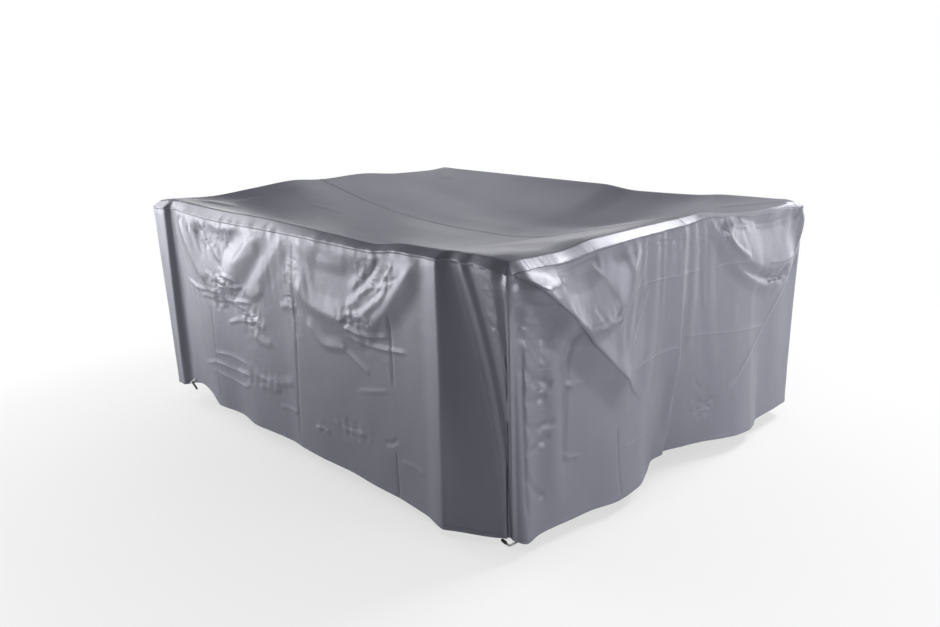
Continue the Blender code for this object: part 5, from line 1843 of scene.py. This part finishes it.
class CoverTieSettings(bpy.types.PropertyGroup):
    """The ties and their toggles."""

    webbing_colour: bpy.props.FloatVectorProperty(
        name="Webbing colour", description="Colour of the ties", subtype="COLOR", size=3,
        default=(0.50, 0.50, 0.51), min=0.0, max=1.0)
    webbing_threads: bpy.props.FloatProperty(
        name="Webbing threads per metre", description="Threads of the webbing in a metre",
        default=1100.0, min=100.0, max=4000.0)
    toggle_colour: bpy.props.FloatVectorProperty(
        name="Toggle colour", description="Colour of the toggles", subtype="COLOR", size=3,
        default=(0.02, 0.02, 0.022), min=0.0, max=1.0)


class CoverStageSettings(bpy.types.PropertyGroup):
    """The floor and the light."""

    floor_colour: bpy.props.FloatVectorProperty(
        name="Floor colour", description="Colour of the floor", subtype="COLOR", size=3,
        default=(0.85, 0.85, 0.85), min=0.0, max=1.0)
    floor_size: bpy.props.FloatProperty(
        name="Floor size", description="Side of the square floor",
        default=60.0, min=4.0, unit="LENGTH")
    whiteness: bpy.props.FloatProperty(
        name="Whiteness", description="Share of white in the floor beside the cover",
        default=0.62, min=0.0, max=1.0, subtype="FACTOR")
    white_from: bpy.props.FloatProperty(
        name="White from", description="Distance at which the floor is quite white",
        default=3.4, min=1.5, unit="LENGTH")
    surround: bpy.props.FloatProperty(
        name="Surround", description="Light from the pale surround", default=0.0, min=0.0)
    brightness: bpy.props.FloatProperty(
        name="Brightness", description="All the lights, as a share of their own power",
        default=1.0, min=0.0)


class COVER_OT_stage(bpy.types.Operator):
    """Make the camera, floor, surround and lights"""

    bl_idname = "cover.stage"
    bl_label = "Stage"

    def execute(self, context):
        make_camera()
        make_floor()
        make_world()
        for light in LIGHTS:
            area_light(light, context.scene.cover_stage.brightness)
        context.scene.view_settings.view_transform = "Standard"
        return {"FINISHED"}


class COVER_OT_top(bpy.types.Operator):
    """Make the two widths of the top"""

    bl_idname = "cover.top"
    bl_label = "Top"

    def execute(self, context):
        for name, near in (("top_near", True), ("top_far", False)):
            piece = make_top(name, near)
        return {"FINISHED"}


class COVER_OT_sides(bpy.types.Operator):
    """Make the four side panels"""

    bl_idname = "cover.sides"
    bl_label = "Side panels"

    def execute(self, context):
        wide, fine = wide_strokes(), fine_strokes()
        shape = settled(wide)
        for name, side in SIDES.items():
            piece = make_side(name, shape, fine)
        return {"FINISHED"}


class COVER_OT_stitches(bpy.types.Operator):
    """Sew the stitches of the seams and the hem"""

    bl_idname = "cover.stitches"
    bl_label = "Stitches"

    def execute(self, context):
        seam = PANELS["top_seam"]
        normals = normals_of(seam)
        inside = slice(len(ROLL_SPLIT), -len(ROLL_SPLIT))
        rows = [TOP_SEAM_LINES.index(place) - len(TOP_SEAM_LINES) for place in TOP_SEAM_STITCHES]
        make_stitches("cover_stitches_top", [(seam[row, inside], normals[row, inside]) for row in rows])
        laps = [PANELS[name] for name in ("top_near", "top_far")]
        make_stitches("cover_stitches_rim", [(lap[1], -normals_of(lap)[1]) for lap in laps])
        panels = [(PANELS[side], normals_of(PANELS[side])) for side in SIDES]
        make_stitches("cover_stitches_hem", [
            (points[HEM_STITCH_ROW], normals[HEM_STITCH_ROW]) for points, normals in panels])
        ends = (CORNER_STITCH_COLUMN, -1 - CORNER_STITCH_COLUMN)
        make_stitches("cover_stitches_corners", [
            (points[CORNER_STITCH_ROWS, column], normals[CORNER_STITCH_ROWS, column])
            for points, normals in panels[::2] for column in ends])
        return {"FINISHED"}


class COVER_OT_ties(bpy.types.Operator):
    """Make the two ties that hang from the hem, and their toggles"""

    bl_idname = "cover.ties"
    bl_label = "Ties"

    def execute(self, context):
        for place, tie in TIES.items():
            make_tie(place, tie)
            make_toggle(place, tie)
        return {"FINISHED"}


class COVER_PT_panel(bpy.types.Panel):
    """The cover's settings and pieces"""

    bl_idname = "COVER_PT_panel"
    bl_label = "Patio furniture cover"
    bl_space_type = "VIEW_3D"
    bl_region_type = "UI"
    bl_category = "Cover"

    def draw(self, context):
        column = self.layout.column()
        scene = context.scene
        for settings in (scene.cover_cloth, scene.cover_ties, scene.cover_stage):
            for name in settings.__annotations__:
                column.prop(settings, name)
        for operator in OPERATORS:
            column.operator(operator.bl_idname)


OPERATORS = (COVER_OT_stage, COVER_OT_top, COVER_OT_sides, COVER_OT_stitches, COVER_OT_ties)
CLASSES = (
    CoverClothSettings, CoverTieSettings, CoverStageSettings, *OPERATORS, COVER_PT_panel)


def register():
    """Registers the classes and hangs the settings on the scene."""
    for item in CLASSES:
        bpy.utils.register_class(item)
    bpy.types.Scene.cover_cloth = bpy.props.PointerProperty(type=CoverClothSettings)
    bpy.types.Scene.cover_ties = bpy.props.PointerProperty(type=CoverTieSettings)
    bpy.types.Scene.cover_stage = bpy.props.PointerProperty(type=CoverStageSettings)


def unregister():
    """Takes back what register has done."""
    del bpy.types.Scene.cover_stage
    del bpy.types.Scene.cover_ties
    del bpy.types.Scene.cover_cloth
    for item in reversed(CLASSES):
        bpy.utils.unregister_class(item)


def main():
    """Makes the stage and all the pieces, and writes how large they are beside the CAD."""
    register()
    bpy.ops.cover.stage()
    bpy.ops.cover.top()
    bpy.ops.cover.sides()
    bpy.ops.cover.stitches()
    bpy.ops.cover.ties()


if __name__ == "__main__":
    main()
